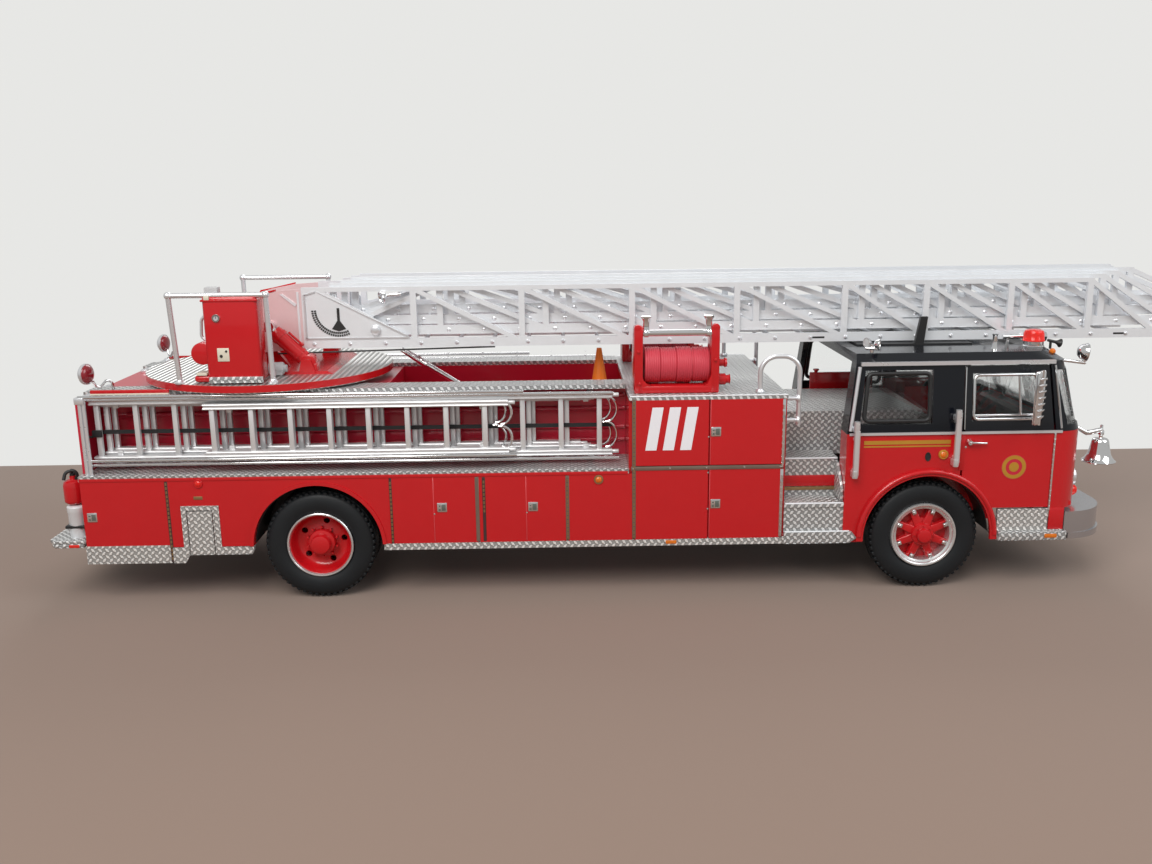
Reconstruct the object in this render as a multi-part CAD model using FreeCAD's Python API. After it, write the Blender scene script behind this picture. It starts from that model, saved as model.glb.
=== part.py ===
import FreeCAD, Part
import math
import os

from FreeCAD import Vector

# A 1:50 scale model of a cab-forward fire engine with a rear-mounted aerial ladder.
# Millimetres.  While modelling, x is counted from the rear axle, forward is +X, left is +Y and
# the ground is z = 0.  On export all is moved so that the origin is below the middle of the length.

os.makedirs("parts", exist_ok=True)

# ---------------------------------------------------------------- driving dimensions
WHEELBASE = 117.5
HALF_WIDTH = 24.5            # outer face of the body's doors
SHEET = 0.8                  # body sheet, doors and treadplate
SEAM = 0.4                   # width of a door seam
RUN_GAP = 0.3                # clearance between pieces that move past each other
FIT_GAP = 0.05               # radial clearance of pins and axles

# wheels
TYRE_RADIUS = 10.7
TYRE_WIDTH = 5.4
TWIN_GAP = 0.8
RIM_RADIUS = 6.4
RIM_BORE_RADIUS = 5.5        # inner radius of the rim ring
TRACK_FACE = HALF_WIDTH - 1.1            # outer face of the outer tyres
SPINDLE_RADIUS = 1.2
HUB_RADIUS = 2.1
ARCH_RADIUS = 12.4
LIP_WIDTH = 1.3

# heights
RAIL_BOTTOM_Z = 12.4         # chassis side rails
RAIL_HEIGHT = 3.8
RAIL_Y = HALF_WIDTH - 17.1
STRIP_BOTTOM_Z = 9.9         # treadplate strip below the doors
STRIP_HEIGHT = 1.3
SKIRT_BOTTOM_Z = 8.0         # deeper treadplate skirt behind the stabilisers
DECK_Z = 25.4                # top of the treadplate deck above the lower doors
RACK_TOP_Z = 40.5            # top of the ladder racks
REEL_BOX_TOP_Z = 39.4
BELT_Z = 31.4
CAB_SILL_Z = 16.1
CAB_FLOOR_Z = 24.2
GUTTER_Z = 44.7
ROOF_CROWN_Z = 46.3

# lengths
REAR_OVERHANG = 44.5         # rear axle to the body's rear wall
STEP_DEPTH = 9.0             # rear step behind the body
REEL_BOX_LENGTH = 30.0
STEP_WELL_LENGTH = 11.5
CAB_SETBACK = 16.2           # cab rear corner behind the front axle
CAB_NOSE = 29.9              # cab front face ahead of the front axle
DOOR_REAR = 6.1              # cab door, from the front axle
DOOR_FRONT = 23.6
BUMPER_REACH = 6.8

# body inside
RACK_DEPTH = 11.5            # ladder rack, from the side to its back wall
BED_FLOOR_Z = 31.0
SADDLE_Y = HALF_WIDTH - 14.2             # inner wall of the lower compartments

# turntable and aerial ladder
TURNTABLE_X = -12.8
TURNTABLE_RADIUS = HALF_WIDTH + 0.15
TURNTABLE_TOP_Z = 42.5
TURNTABLE_PLATE = 1.2
TURNTABLE_RIM = 1.5
BEARING_RADIUS = 11.0
PIVOT_X = -14.0
PIVOT_Z = 48.0
PIVOT_PIN_RADIUS = 0.9
LADDER_HALF_WIDTH = 8.2
LADDER_BAR = 0.75            # thickness of the chords, posts and rails across the ladder
CHORD_HEIGHT = 1.8
LADDER_CHORD_Z = 46.9
LADDER_DEPTH = 12.1          # base section, from its chord to the top of its handrail
LADDER_RAIL_Z = LADDER_CHORD_Z + LADDER_DEPTH
RUNG_PITCH = 7.1
RUNG_RADIUS = 0.4
LADDER_TAIL_X = -4.0
LADDER_TRAVEL = 140.0        # each section out of the one below it

# the hoist cylinders that lift the ladder
HOIST_FOOT_X = -2.8
HOIST_FOOT_Z = 44.5
HOIST_EYE_X = -10.2
HOIST_EYE_Z = 51.7
HOIST_Y = 10.6
HOIST_BARREL_RADIUS = 1.5
HOIST_ROD_RADIUS = 0.65
HOIST_PIN_RADIUS = 0.5
CLEVIS = 0.9                 # thickness of the cheeks at the cylinders' feet

# ---------------------------------------------------------------- places worked out from these
BODY_REAR_X = -REAR_OVERHANG
CAB_REAR_X = WHEELBASE - CAB_SETBACK
CAB_FRONT_X = WHEELBASE + CAB_NOSE
BOX_FRONT_X = CAB_REAR_X - STEP_WELL_LENGTH
BOX_REAR_X = BOX_FRONT_X - REEL_BOX_LENGTH
STEP_REAR_X = BODY_REAR_X - STEP_DEPTH
BUMPER_FRONT_X = CAB_FRONT_X + BUMPER_REACH
PANEL_BOTTOM_Z = STRIP_BOTTOM_Z + STRIP_HEIGHT
RACK_BACK_Y = HALF_WIDTH - RACK_DEPTH
TURNTABLE_BOTTOM_Z = TURNTABLE_TOP_Z - TURNTABLE_PLATE
RAIL_TOP_Z = RAIL_BOTTOM_Z + RAIL_HEIGHT
PI = math.pi
Y_AXIS = Vector(0, 1, 0)
X_AXIS = Vector(1, 0, 0)
Z_AXIS = Vector(0, 0, 1)


# ---------------------------------------------------------------- shape helpers
def block(x0, x1, y0, y1, z0, z1):
    return Part.makeBox(x1 - x0, y1 - y0, z1 - z0, Vector(x0, y0, z0))


def rod(start, end, radius):
    a = Vector(*start)
    b = Vector(*end)
    return Part.makeCylinder(radius, a.distanceToPoint(b), a, b.sub(a))


def ball(centre, radius):
    return Part.makeSphere(radius, Vector(*centre))


def side_prism(outline, y0, y1):
    """A plate whose outline is given in x and z, from y0 to y1."""
    points = [Vector(x, y0, z) for x, z in outline]
    face = Part.Face(Part.makePolygon(points + [points[0]]))
    return face.extrude(Vector(0, y1 - y0, 0))


def cross_prism(outline, x0, x1):
    """A bar whose outline is given in y and z, from x0 to x1."""
    points = [Vector(x0, y, z) for y, z in outline]
    face = Part.Face(Part.makePolygon(points + [points[0]]))
    return face.extrude(Vector(x1 - x0, 0, 0))


def bar(start, end, width, y0, y1):
    """A flat bar in a side view, from one (x, z) to another."""
    (xa, za), (xb, zb) = start, end
    length = math.hypot(xb - xa, zb - za)
    dx = (xb - xa) / length * width / 2
    dz = (zb - za) / length * width / 2
    outline = [(xa - dz, za + dx), (xb - dz, zb + dx), (xb + dz, zb - dx), (xa + dz, za - dx)]
    return side_prism(outline, y0, y1)


def fuse(shapes):
    """All the shapes at once, which is quick."""
    shapes = list(shapes)
    return shapes[0].multiFuse(shapes[1:]).removeSplitter()


def fuse_in_turn(shapes):
    """One shape after another, for sheets that meet along whole faces."""
    result = shapes[0]
    for shape in shapes[1:]:
        result = result.fuse(shape)
    return result.removeSplitter()


def mirrored(shape):
    return shape.mirror(Vector(0, 0, 0), Y_AXIS)


def both_sides(shapes):
    """The same solids on the right and on the left."""
    shapes = list(shapes)
    return shapes + [mirrored(shape) for shape in shapes]


def bent_tube(points, radius, bend):
    """A round tube along straight runs that are joined by arcs of one bend radius."""
    corners = [Vector(*p) for p in points]
    edges = []
    here = corners[0]
    for before, corner, after in zip(corners, corners[1:], corners[2:]):
        into = corner.sub(before).normalize()
        out = after.sub(corner).normalize()
        turn = into.getAngle(out)
        cut = bend * math.tan(turn / 2)
        first = corner.sub(into * cut)
        last = corner.add(out * cut)
        inward = out.sub(into).normalize()
        middle = corner.add(inward * (bend / math.cos(turn / 2) - bend))
        edges.append(Part.LineSegment(here, first).toShape())
        edges.append(Part.Arc(first, middle, last).toShape())
        here = last
    edges.append(Part.LineSegment(here, corners[-1]).toShape())
    path = Part.Wire(edges)
    start_dir = corners[1].sub(corners[0])
    profile = Part.Wire([Part.Circle(corners[0], start_dir, radius).toShape()])
    return path.makePipeShell([profile], True, True)


def ring(outer, inner, centre, axis, length):
    a = Vector(*centre)
    return Part.makeCylinder(outer, length, a, axis).cut(Part.makeCylinder(inner, length, a, axis))


def turned(outline, centre_x, centre_z):
    """Turn an outline of (radius, y) about the wheel axis at (centre_x, centre_z)."""
    points = [Vector(centre_x + r, y, centre_z) for r, y in outline]
    face = Part.Face(Part.makePolygon(points + [points[0]]))
    return face.revolve(Vector(centre_x, 0, centre_z), Y_AXIS, 360)


nodes = {}


def add(name, shapes):
    shapes = list(shapes) if isinstance(shapes, (list, tuple)) else [shapes]
    nodes[name] = nodes.get(name, []) + shapes


# ---------------------------------------------------------------- chassis
def chassis_frame():
    """Two channel rails with cross members, and hangers for the body."""
    rear = BODY_REAR_X + 1.0
    front = CAB_FRONT_X - 2.0
    rail = block(rear, front, RAIL_Y - 1.0, RAIL_Y + 1.0, RAIL_BOTTOM_Z, RAIL_TOP_Z)
    rail = rail.cut(block(rear, front, RAIL_Y - 2.0, RAIL_Y + 0.3, RAIL_BOTTOM_Z + 0.7, RAIL_TOP_Z - 0.7))
    parts = both_sides([rail])
    half = RAIL_Y + 0.9
    top = RAIL_TOP_Z - 0.2
    for x in [rear + 1.0, BASE_BOSS_X[0], -16.0, 16.0, 48.0, 76.0, BASE_BOSS_X[1], front - 2.0]:
        parts.append(block(x - 1.2, x + 1.2, -half, half, top - MEMBER_HEIGHT, top))
    for x in (rear + 1.0, 17.0, 40.0, 65.0, BOX_FRONT_X - 3.0):
        hanger = block(x - 0.8, x + 0.8, RAIL_Y, SADDLE_Y, RAIL_BOTTOM_Z + 1.0, RAIL_TOP_Z - 1.0)
        parts += both_sides([hanger])
    return fuse(parts)


def base_bosses():
    """Two bosses under the cross members, each with a blind hole for a screw up through a display base."""
    bosses = []
    low = BASE_BOSS_Z
    for x in BASE_BOSS_X:
        boss = rod((x, 0, low), (x, 0, RAIL_TOP_Z - MEMBER_HEIGHT - 0.2), BASE_BOSS_RADIUS)
        bosses.append(boss.cut(rod((x, 0, low - 1), (x, 0, low + BASE_BORE_DEPTH), BASE_BORE_RADIUS)))
    return bosses


BASE_BOSS_X = (BODY_REAR_X + 13.5, WHEELBASE + 14.5)
BASE_BOSS_Z = 7.5
BASE_BOSS_RADIUS = 2.6
MEMBER_HEIGHT = 1.4          # chassis cross members
BASE_BORE_RADIUS = 1.25
BASE_BORE_DEPTH = 6.0
SPRING_Y = RAIL_Y + 2.0
SPRING_HALF_LENGTH = 9.0


def leaf_spring(axle_x, top_z):
    """Three stacked leaves under a rail, with a hanger at each end up to the rail."""
    leaves = []
    for i in range(3):
        half = SPRING_HALF_LENGTH - 1.8 * i
        top = top_z - 0.5 * i
        leaves.append(block(axle_x - half, axle_x + half, -SPRING_Y - 0.6, -SPRING_Y + 0.6, top - 0.5, top))
    for end in (-1, 1):
        x = axle_x + end * (SPRING_HALF_LENGTH - 0.8)
        leaves.append(block(x - 0.8, x + 0.8, -SPRING_Y - 0.6, -RAIL_Y - 1.0, top_z - 0.5, RAIL_TOP_Z - 1.0))
    return leaves


def rear_axle():
    half = TRACK_FACE - 1.0
    housing = [rod((0, -half, TYRE_RADIUS), (0, half, TYRE_RADIUS), SPINDLE_RADIUS),
               rod((0, -SPRING_Y, TYRE_RADIUS), (0, SPRING_Y, TYRE_RADIUS), 1.5),
               ball((0, 0, TYRE_RADIUS), 3.4)]
    spring_top = TYRE_RADIUS + 2.8
    seats = [block(-1.6, 1.6, -SPRING_Y - 0.6, -SPRING_Y + 0.6, TYRE_RADIUS, spring_top - 1.2)]
    return fuse(housing + both_sides(seats) + both_sides(leaf_spring(0, spring_top)))


def front_axle():
    """A straight beam with springs, knuckles, king pins and a tie rod; the wheels don't steer."""
    half = TRACK_FACE - 1.0
    knuckle_y = TRACK_FACE - TYRE_WIDTH - 1.6
    x = WHEELBASE
    beam = [block(x - 1.2, x + 1.2, -knuckle_y, knuckle_y, TYRE_RADIUS - 1.4, TYRE_RADIUS + 1.0)]
    beam += both_sides([rod((x, -half, TYRE_RADIUS), (x, -knuckle_y, TYRE_RADIUS), SPINDLE_RADIUS)])
    beam += both_sides([rod((x, -knuckle_y, TYRE_RADIUS - 2.4), (x, -knuckle_y, TYRE_RADIUS + 2.4), 1.0)])
    arm_y = (-knuckle_y - 0.5, -knuckle_y + 0.5)
    beam += both_sides([block(x - 4.4, x, *arm_y, TYRE_RADIUS - 0.6, TYRE_RADIUS + 0.6)])
    beam += [rod((x - 4.0, -knuckle_y, TYRE_RADIUS), (x - 4.0, knuckle_y, TYRE_RADIUS), 0.5)]
    spring_top = TYRE_RADIUS + 2.7
    return fuse(beam + both_sides(leaf_spring(x, spring_top)))


ENGINE_LENGTH = 20.0
ENGINE_HALF_WIDTH = RAIL_Y - 1.4         # between the chassis rails
GEARBOX_LENGTH = 5.5
SHAFT_Z = 13.2


def engine_and_shaft():
    """One plain block for the engine with the gearbox behind it, and the shaft to the rear axle."""
    engine_rear = CAB_REAR_X - 3.0
    engine = block(engine_rear, engine_rear + ENGINE_LENGTH * 0.5, -ENGINE_HALF_WIDTH, ENGINE_HALF_WIDTH,
                   RAIL_BOTTOM_Z, COVER_TOP_Z - 4.0)
    box_rear = engine_rear - GEARBOX_LENGTH
    gearbox = block(box_rear, engine_rear, -2.6, 2.6, RAIL_BOTTOM_Z - 1.6, RAIL_TOP_Z + 2.0)
    add("engine_block", fuse([engine, gearbox]))
    front = (box_rear - FIT_GAP, 0, SHAFT_Z)
    shaft = rod((3.6, 0, TYRE_RADIUS + 0.5), front, 0.7)
    return shaft


COVER_TOP_Z = 33.4


# ---------------------------------------------------------------- wheels
def tyre(outer_y, centre_x):
    """A tyre section with shoulders, turned about the axle; outer_y is its outer face."""
    w = TYRE_WIDTH
    r = TYRE_RADIUS
    bead = RIM_RADIUS + 0.02
    inner = [(bead, -w + 0.9), (bead, -0.9), (bead + 1.2, -0.15), (r - 1.9, 0.0), (r - 0.6, -0.35),
             (r, -1.0), (r, -w + 1.0), (r - 0.6, -w + 0.35), (r - 1.9, -w), (bead + 1.2, -w + 0.15)]
    return turned([(radius, -(outer_y + y)) for radius, y in inner], centre_x, TYRE_RADIUS)


def spindle_bore(centre_x):
    end_y = -(TRACK_FACE - 1.0) - FIT_GAP
    return rod((centre_x, 0, TYRE_RADIUS), (centre_x, end_y, TYRE_RADIUS), SPINDLE_RADIUS + FIT_GAP)


def front_rim():
    """Cast spoke wheel: ring, eight spokes and a hub with its cap."""
    y = -TRACK_FACE
    w = TYRE_WIDTH
    ring_wall = turned([(RIM_RADIUS, y + 0.6), (RIM_RADIUS, y + w - 0.6), (RIM_BORE_RADIUS, y + w - 0.6),
                        (RIM_BORE_RADIUS, y + 1.6), (RIM_BORE_RADIUS - 0.1, y + 0.2), (RIM_RADIUS, y + 0.2)],
                       WHEELBASE, TYRE_RADIUS)
    parts = [ring_wall]
    parts.append(rod((WHEELBASE, y - 0.4, TYRE_RADIUS), (WHEELBASE, y + w - 0.2, TYRE_RADIUS), HUB_RADIUS))
    parts.append(rod((WHEELBASE, y - 0.9, TYRE_RADIUS), (WHEELBASE, y - 0.2, TYRE_RADIUS), HUB_RADIUS * 0.7))
    spoke = block(WHEELBASE + HUB_RADIUS * 0.7, WHEELBASE + RIM_BORE_RADIUS + 0.3, y + 0.9, y + 2.2,
                  TYRE_RADIUS - 0.7, TYRE_RADIUS + 0.7)
    for i in range(SPOKES):
        one = spoke.copy()
        one.rotate(Vector(WHEELBASE, 0, TYRE_RADIUS), Y_AXIS, (i + 0.5) * 360.0 / SPOKES)
        parts.append(one)
    return fuse(parts).cut(spindle_bore(WHEELBASE))


SPOKES = 8
HAND_HOLES = 5


def rear_rim():
    """A dished disc with hand holes in the outer wheel, and the inner wheel's ring on the same hub."""
    y = -TRACK_FACE
    w = TYRE_WIDTH
    twin = w + TWIN_GAP
    parts = []
    for offset in (0.0, twin):
        parts.append(turned([(RIM_RADIUS, y + offset + 0.2), (RIM_RADIUS, y + offset + w - 0.2),
                             (RIM_BORE_RADIUS, y + offset + w - 0.2), (RIM_BORE_RADIUS, y + offset + 0.2)],
                            0, TYRE_RADIUS))
    disc_y = y + 2.6
    disc = rod((0, disc_y, TYRE_RADIUS), (0, disc_y + 0.9, TYRE_RADIUS), RIM_BORE_RADIUS + 0.3)
    for i in range(HAND_HOLES):
        angle = (i + 0.5) * 2 * PI / HAND_HOLES
        hx = 3.9 * math.cos(angle)
        hz = TYRE_RADIUS + 3.9 * math.sin(angle)
        disc = disc.cut(rod((hx, disc_y - 1, hz), (hx, disc_y + 2, hz), 0.8))
    parts.append(disc)
    inner_y = disc_y + twin
    parts.append(rod((0, inner_y, TYRE_RADIUS), (0, inner_y + 0.9, TYRE_RADIUS), RIM_BORE_RADIUS + 0.3))
    parts.append(rod((0, y - 0.3, TYRE_RADIUS), (0, y + twin + w - 1.0, TYRE_RADIUS), HUB_RADIUS))
    parts.append(rod((0, disc_y - 0.9, TYRE_RADIUS), (0, disc_y, TYRE_RADIUS), HUB_RADIUS * 1.35))
    return fuse(parts).cut(spindle_bore(0))


# ---------------------------------------------------------------- body
DOOR_TABLE = [               # right side: rear x, front x, bottom z, top z
    (BODY_REAR_X, -28.1, PANEL_BOTTOM_Z + 0.4, DECK_Z - 1.0),
    (-28.1, 14.3, PANEL_BOTTOM_Z, DECK_Z - 1.0),
    (14.3, 30.9, PANEL_BOTTOM_Z, DECK_Z - 1.0),
    (30.9, 47.9, PANEL_BOTTOM_Z, DECK_Z - 1.0),
    (47.9, BOX_REAR_X + 0.9, PANEL_BOTTOM_Z, DECK_Z - 1.0),
    (BOX_REAR_X + 0.9, BOX_REAR_X + REEL_BOX_LENGTH * 0.51, PANEL_BOTTOM_Z, DECK_Z),
    (BOX_REAR_X + REEL_BOX_LENGTH * 0.51, BOX_FRONT_X - 0.7, PANEL_BOTTOM_Z, DECK_Z),
    (BOX_REAR_X + 0.9, BOX_REAR_X + REEL_BOX_LENGTH * 0.51, DECK_Z + 0.5, REEL_BOX_TOP_Z - SHEET),
    (BOX_REAR_X + REEL_BOX_LENGTH * 0.51, BOX_FRONT_X - 0.7, DECK_Z + 0.5, REEL_BOX_TOP_Z - SHEET),
]
STABILISER = (-25.7, -18.5, 19.4)       # rear x, front x and top z of the stabiliser's frame


def arch_cutter(centre_x, y0, y1, radius):
    centre = (centre_x, TYRE_RADIUS)
    cutter = rod((centre[0], y0, centre[1]), (centre[0], y1, centre[1]), radius)
    below = block(centre[0] - radius, centre[0] + radius, y0, y1, centre[1] - 2 * radius, centre[1])
    return cutter.fuse(below)


def body_doors():
    doors = []
    for x0, x1, z0, z1 in DOOR_TABLE:
        door = block(x0 + SEAM / 2, x1 - SEAM / 2, -HALF_WIDTH, -HALF_WIDTH + SHEET, z0, z1)
        if x0 < 0 < x1:
            door = door.cut(arch_cutter(0, -HALF_WIDTH - 1, -HALF_WIDTH + 2, ARCH_RADIUS))
            rear, front, top = STABILISER
            door = door.cut(block(rear, front, -HALF_WIDTH - 1, -HALF_WIDTH + 2, 0, top))
            door = door.fuse(rear_arch_lip()).removeSplitter()
        doors.append(door)
    return both_sides(doors)


def body_shell():
    """The painted sheet behind the doors: side walls, bulkheads, compartment floors and wheel wells."""
    side = -HALF_WIDTH + SHEET
    inner = -HALF_WIDTH + 2 * SHEET
    under_deck = DECK_Z - 0.9
    wall = block(BODY_REAR_X, BOX_FRONT_X, side, inner, PANEL_BOTTOM_Z, under_deck)
    upper = block(BOX_REAR_X, BOX_FRONT_X, side, inner, under_deck, REEL_BOX_TOP_Z - SHEET)
    floor = block(BODY_REAR_X, BOX_FRONT_X, inner, -SADDLE_Y, PANEL_BOTTOM_Z, PANEL_BOTTOM_Z + SHEET)
    saddle = block(BODY_REAR_X, BOX_FRONT_X, -SADDLE_Y - SHEET, -SADDLE_Y, PANEL_BOTTOM_Z, under_deck)
    sheets = fuse([wall, upper, floor, saddle])
    sheets = sheets.cut(arch_cutter(0, -HALF_WIDTH - 1, -SADDLE_Y - SHEET - 0.01, ARCH_RADIUS))
    sheets = sheets.cut(block(-2.6, 2.6, -SADDLE_Y - 2, -SADDLE_Y + 1, 0, TYRE_RADIUS + 2.6))
    well = arch_cutter(0, inner - SHEET / 2, -SADDLE_Y - SHEET / 2, ARCH_RADIUS + SHEET)
    well = well.cut(arch_cutter(0, inner - 5, -SADDLE_Y + 5, ARCH_RADIUS))
    reach = 2 * ARCH_RADIUS
    well = well.cut(block(-reach, reach, -HALF_WIDTH, 0, -reach, PANEL_BOTTOM_Z))
    halves = both_sides([fuse([sheets, well])])
    bulkheads = []
    for x, top in ((BODY_REAR_X, under_deck), (BOX_FRONT_X - SHEET, REEL_BOX_TOP_Z - SHEET)):
        bulkheads.append(block(x, x + SHEET, -HALF_WIDTH + SHEET, HALF_WIDTH - SHEET, RAIL_TOP_Z + 0.4, top))
    bulkheads.append(block(BOX_REAR_X, BOX_REAR_X + SHEET, side, -side, under_deck, REEL_BOX_TOP_Z - SHEET))
    return fuse(halves + bulkheads)


def body_decks():
    """Treadplate: the deck above the lower doors, the reel box's top and the caps of the rack walls."""
    deck = block(BODY_REAR_X, BOX_REAR_X, -HALF_WIDTH, HALF_WIDTH, DECK_Z - 0.9, DECK_Z)
    top = block(BOX_REAR_X, BOX_FRONT_X, -HALF_WIDTH, HALF_WIDTH, REEL_BOX_TOP_Z - SHEET, REEL_BOX_TOP_Z)
    cap = block(BODY_REAR_X, BOX_REAR_X - 0.3, -RACK_BACK_Y - CAP_OUT, -RACK_BACK_Y + SHEET,
                RACK_TOP_Z - SHEET, RACK_TOP_Z)
    return [deck, top] + both_sides([cap])


CAP_OUT = 5.0                # how far a rack wall's cap reaches over the rack
BED_REAR_X = 12.6


def rack_walls():
    """Dark red inner body: the racks' back walls, the hose bed between them and the turntable's base."""
    top = RACK_TOP_Z - SHEET
    wall = block(BODY_REAR_X, BOX_REAR_X, -RACK_BACK_Y, -RACK_BACK_Y + SHEET, DECK_Z, top)
    inner = RACK_BACK_Y - SHEET
    parts = both_sides([wall])
    parts.append(block(BED_REAR_X, BOX_REAR_X, -inner, inner, BED_FLOOR_Z - SHEET, BED_FLOOR_Z))
    parts.append(block(BED_REAR_X - SHEET, BED_REAR_X, -inner, inner, DECK_Z, top))
    parts.append(block(BODY_REAR_X, BODY_REAR_X + SHEET, -inner, inner, DECK_Z, top))
    parts.append(block(BODY_REAR_X, BED_REAR_X, -inner, inner, top - SHEET, top))
    end = block(BODY_REAR_X, BODY_REAR_X + SHEET, -HALF_WIDTH + 2.4, -RACK_BACK_Y, DECK_Z, top)
    parts += both_sides([end])
    parts.append(bearing_ring())
    return fuse(parts)


def tread_skirts():
    """Treadplate below the doors, the stabiliser's frame and door, and the skirt below the cab."""
    y0 = -HALF_WIDTH
    y1 = -HALF_WIDTH + SHEET
    sx0, sx1, sz1 = STABILISER
    low = SKIRT_BOTTOM_Z
    strip_top = PANEL_BOTTOM_Z
    split = DOOR_TABLE[0][1]
    arch = ARCH_RADIUS
    under = strip_top - 0.1
    pieces = [block(BODY_REAR_X, split - SEAM / 2, y0, y1, low, strip_top + 0.4)]
    outline = [(split + SEAM / 2, low), (sx0, low), (sx0 + 1.0, low + 1.6), (sx0 + 1.0, sz1 - 0.9),
               (sx1 - 1.2, sz1 - 0.9), (sx1 - 1.2, low + 1.6), (sx1, low + 1.6), (-arch - 0.4, low + 1.6),
               (-arch, low + 2.4), (-arch, under), (sx1, under), (sx1, sz1),
               (sx0, sz1), (sx0, under), (split + SEAM / 2, under)]
    pieces.append(side_prism(outline, y0 - 0.2, y1))
    pieces.append(block(sx0 + 1.2, sx1 - 1.4, y0 - 0.2, y1, low + 1.6, sz1 - 1.1))
    pieces.append(block(arch + 0.2, BOX_FRONT_X, y0, y1 + SHEET, STRIP_BOTTOM_Z, strip_top))
    cab_y = -CAB_HALF_WIDTH
    x0 = WHEELBASE + arch + LIP_WIDTH + 0.1
    x1 = WHEELBASE + DOOR_FRONT
    step_top = STRIP_BOTTOM_Z + 2.0
    pieces.append(fuse([block(x0, x1, cab_y, cab_y + SHEET, step_top, CAB_SILL_Z),
                        block(x0, x1 + 3.0, cab_y - 0.3, cab_y + 4.0, STRIP_BOTTOM_Z, step_top)]))
    return both_sides(pieces)


def rear_arch_lip():
    """Rolled lip round the right rear arch."""
    rear = ring(ARCH_RADIUS + 0.7, ARCH_RADIUS, (0, -HALF_WIDTH - 0.35, TYRE_RADIUS), Y_AXIS, 0.35)
    rear = rear.cut(block(-20, 20, -30, 0, -3 * ARCH_RADIUS, PANEL_BOTTOM_Z))
    return rear


def front_arch_flare():
    """Flare round the right front arch, with its foot behind the wheel."""
    y0 = -CAB_HALF_WIDTH - 0.6
    front = ring(ARCH_RADIUS + LIP_WIDTH, ARCH_RADIUS, (WHEELBASE, y0, TYRE_RADIUS), Y_AXIS, 0.6)
    front = front.cut(block(WHEELBASE - 20, WHEELBASE + 20, -30, 0, -3 * ARCH_RADIUS, STRIP_BOTTOM_Z + 0.3))
    return front


# ---------------------------------------------------------------- step well between the body and the cab
LOWER_STEP_Z = 12.2
UPPER_STEP_Z = 17.8
STEP_IN_Y = HALF_WIDTH - 6.1
LEDGE_Z = 25.4
COVER_Y = HALF_WIDTH - 12.5


def side_steps():
    """Two treadplate steps and the riser up to the ledge beside the engine cover."""
    x0 = BOX_FRONT_X
    x1 = CAB_REAR_X
    y0 = -HALF_WIDTH
    low = side_prism([(x0, STRIP_BOTTOM_Z), (x1 + 1.2, STRIP_BOTTOM_Z), (x1 + 2.6, STRIP_BOTTOM_Z + 1.0),
                      (x1 + 1.6, LOWER_STEP_Z), (x0, LOWER_STEP_Z)], y0 - 0.3, y0 + 1.6)
    low = low.cut(block(x1, x1 + 9, y0 + 0.2, 0, 0, 40))
    riser = block(x0, x1, y0 + 0.5, y0 + 1.3, LOWER_STEP_Z, UPPER_STEP_Z)
    tread = block(x0, x1, y0 + 0.3, -STEP_IN_Y + SHEET, UPPER_STEP_Z - SHEET, UPPER_STEP_Z)
    second = block(x0, x1, -STEP_IN_Y, -STEP_IN_Y + SHEET, UPPER_STEP_Z, LEDGE_Z)
    ledge = block(x0, x1, -STEP_IN_Y, -COVER_Y, LEDGE_Z - SHEET, LEDGE_Z)
    return both_sides([fuse([low, riser, tread, second, ledge])])


def engine_cover():
    """Treadplate box over the engine, from the reel box into the open back of the cab."""
    x0 = BOX_FRONT_X
    x1 = WHEELBASE + DOOR_REAR - 4.0
    outer = block(x0, x1, -COVER_Y, COVER_Y, LEDGE_Z - SHEET, COVER_TOP_Z)
    inner = block(x0, x1 - SHEET, -COVER_Y + SHEET, COVER_Y - SHEET, LEDGE_Z - 2 * SHEET, COVER_TOP_Z - SHEET)
    return outer.cut(inner)


# ---------------------------------------------------------------- cab
CAB_HALF_WIDTH = HALF_WIDTH - 0.2
CAB_TOP_HALF_WIDTH = CAB_HALF_WIDTH - 1.3
CAB_WALL = 1.0
CAB_CORNER = 5.0
REAR_LEAN = 1.5              # how far the rear pillars lean forward
WINDSHIELD_RAKE = 3.6        # how far the windshield leans back


def cab_outline(x_rear, x_front, half, corner, z, inset):
    """Plan outline at one height, its front corners rounded; inset moves all of it inwards."""
    xr = x_rear + inset
    xf = x_front - inset
    h = half - inset
    r = corner - inset
    m = r * (1 - math.sqrt(0.5))
    a = Vector(xr, -h, z)
    b = Vector(xf - r, -h, z)
    c = Vector(xf, -h + r, z)
    bm = Vector(xf - m, -h + m, z)
    d = Vector(xf, h - r, z)
    e = Vector(xf - r, h, z)
    em = Vector(xf - m, h - m, z)
    f = Vector(xr, h, z)
    return Part.Wire([Part.LineSegment(a, b).toShape(), Part.Arc(b, bm, c).toShape(),
                      Part.LineSegment(c, d).toShape(), Part.Arc(d, em, e).toShape(),
                      Part.LineSegment(e, f).toShape(), Part.LineSegment(f, a).toShape()])


def cab_solid(inset, low_z=None):
    """The cab's outer form below and above the belt, pulled in by inset."""
    low_z = STRIP_BOTTOM_Z if low_z is None else low_z
    low = cab_outline(CAB_REAR_X, CAB_FRONT_X, CAB_HALF_WIDTH, CAB_CORNER, low_z, inset)
    belt = cab_outline(CAB_REAR_X, CAB_FRONT_X, CAB_HALF_WIDTH, CAB_CORNER, BELT_Z, inset)
    top = cab_outline(CAB_REAR_X + REAR_LEAN, CAB_FRONT_X - WINDSHIELD_RAKE, CAB_TOP_HALF_WIDTH, CAB_CORNER,
                      GUTTER_Z, inset)
    lower = Part.Face(low).extrude(Vector(0, 0, BELT_Z - low_z))
    upper = Part.makeLoft([belt, top], True, True)
    return lower, upper


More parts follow.
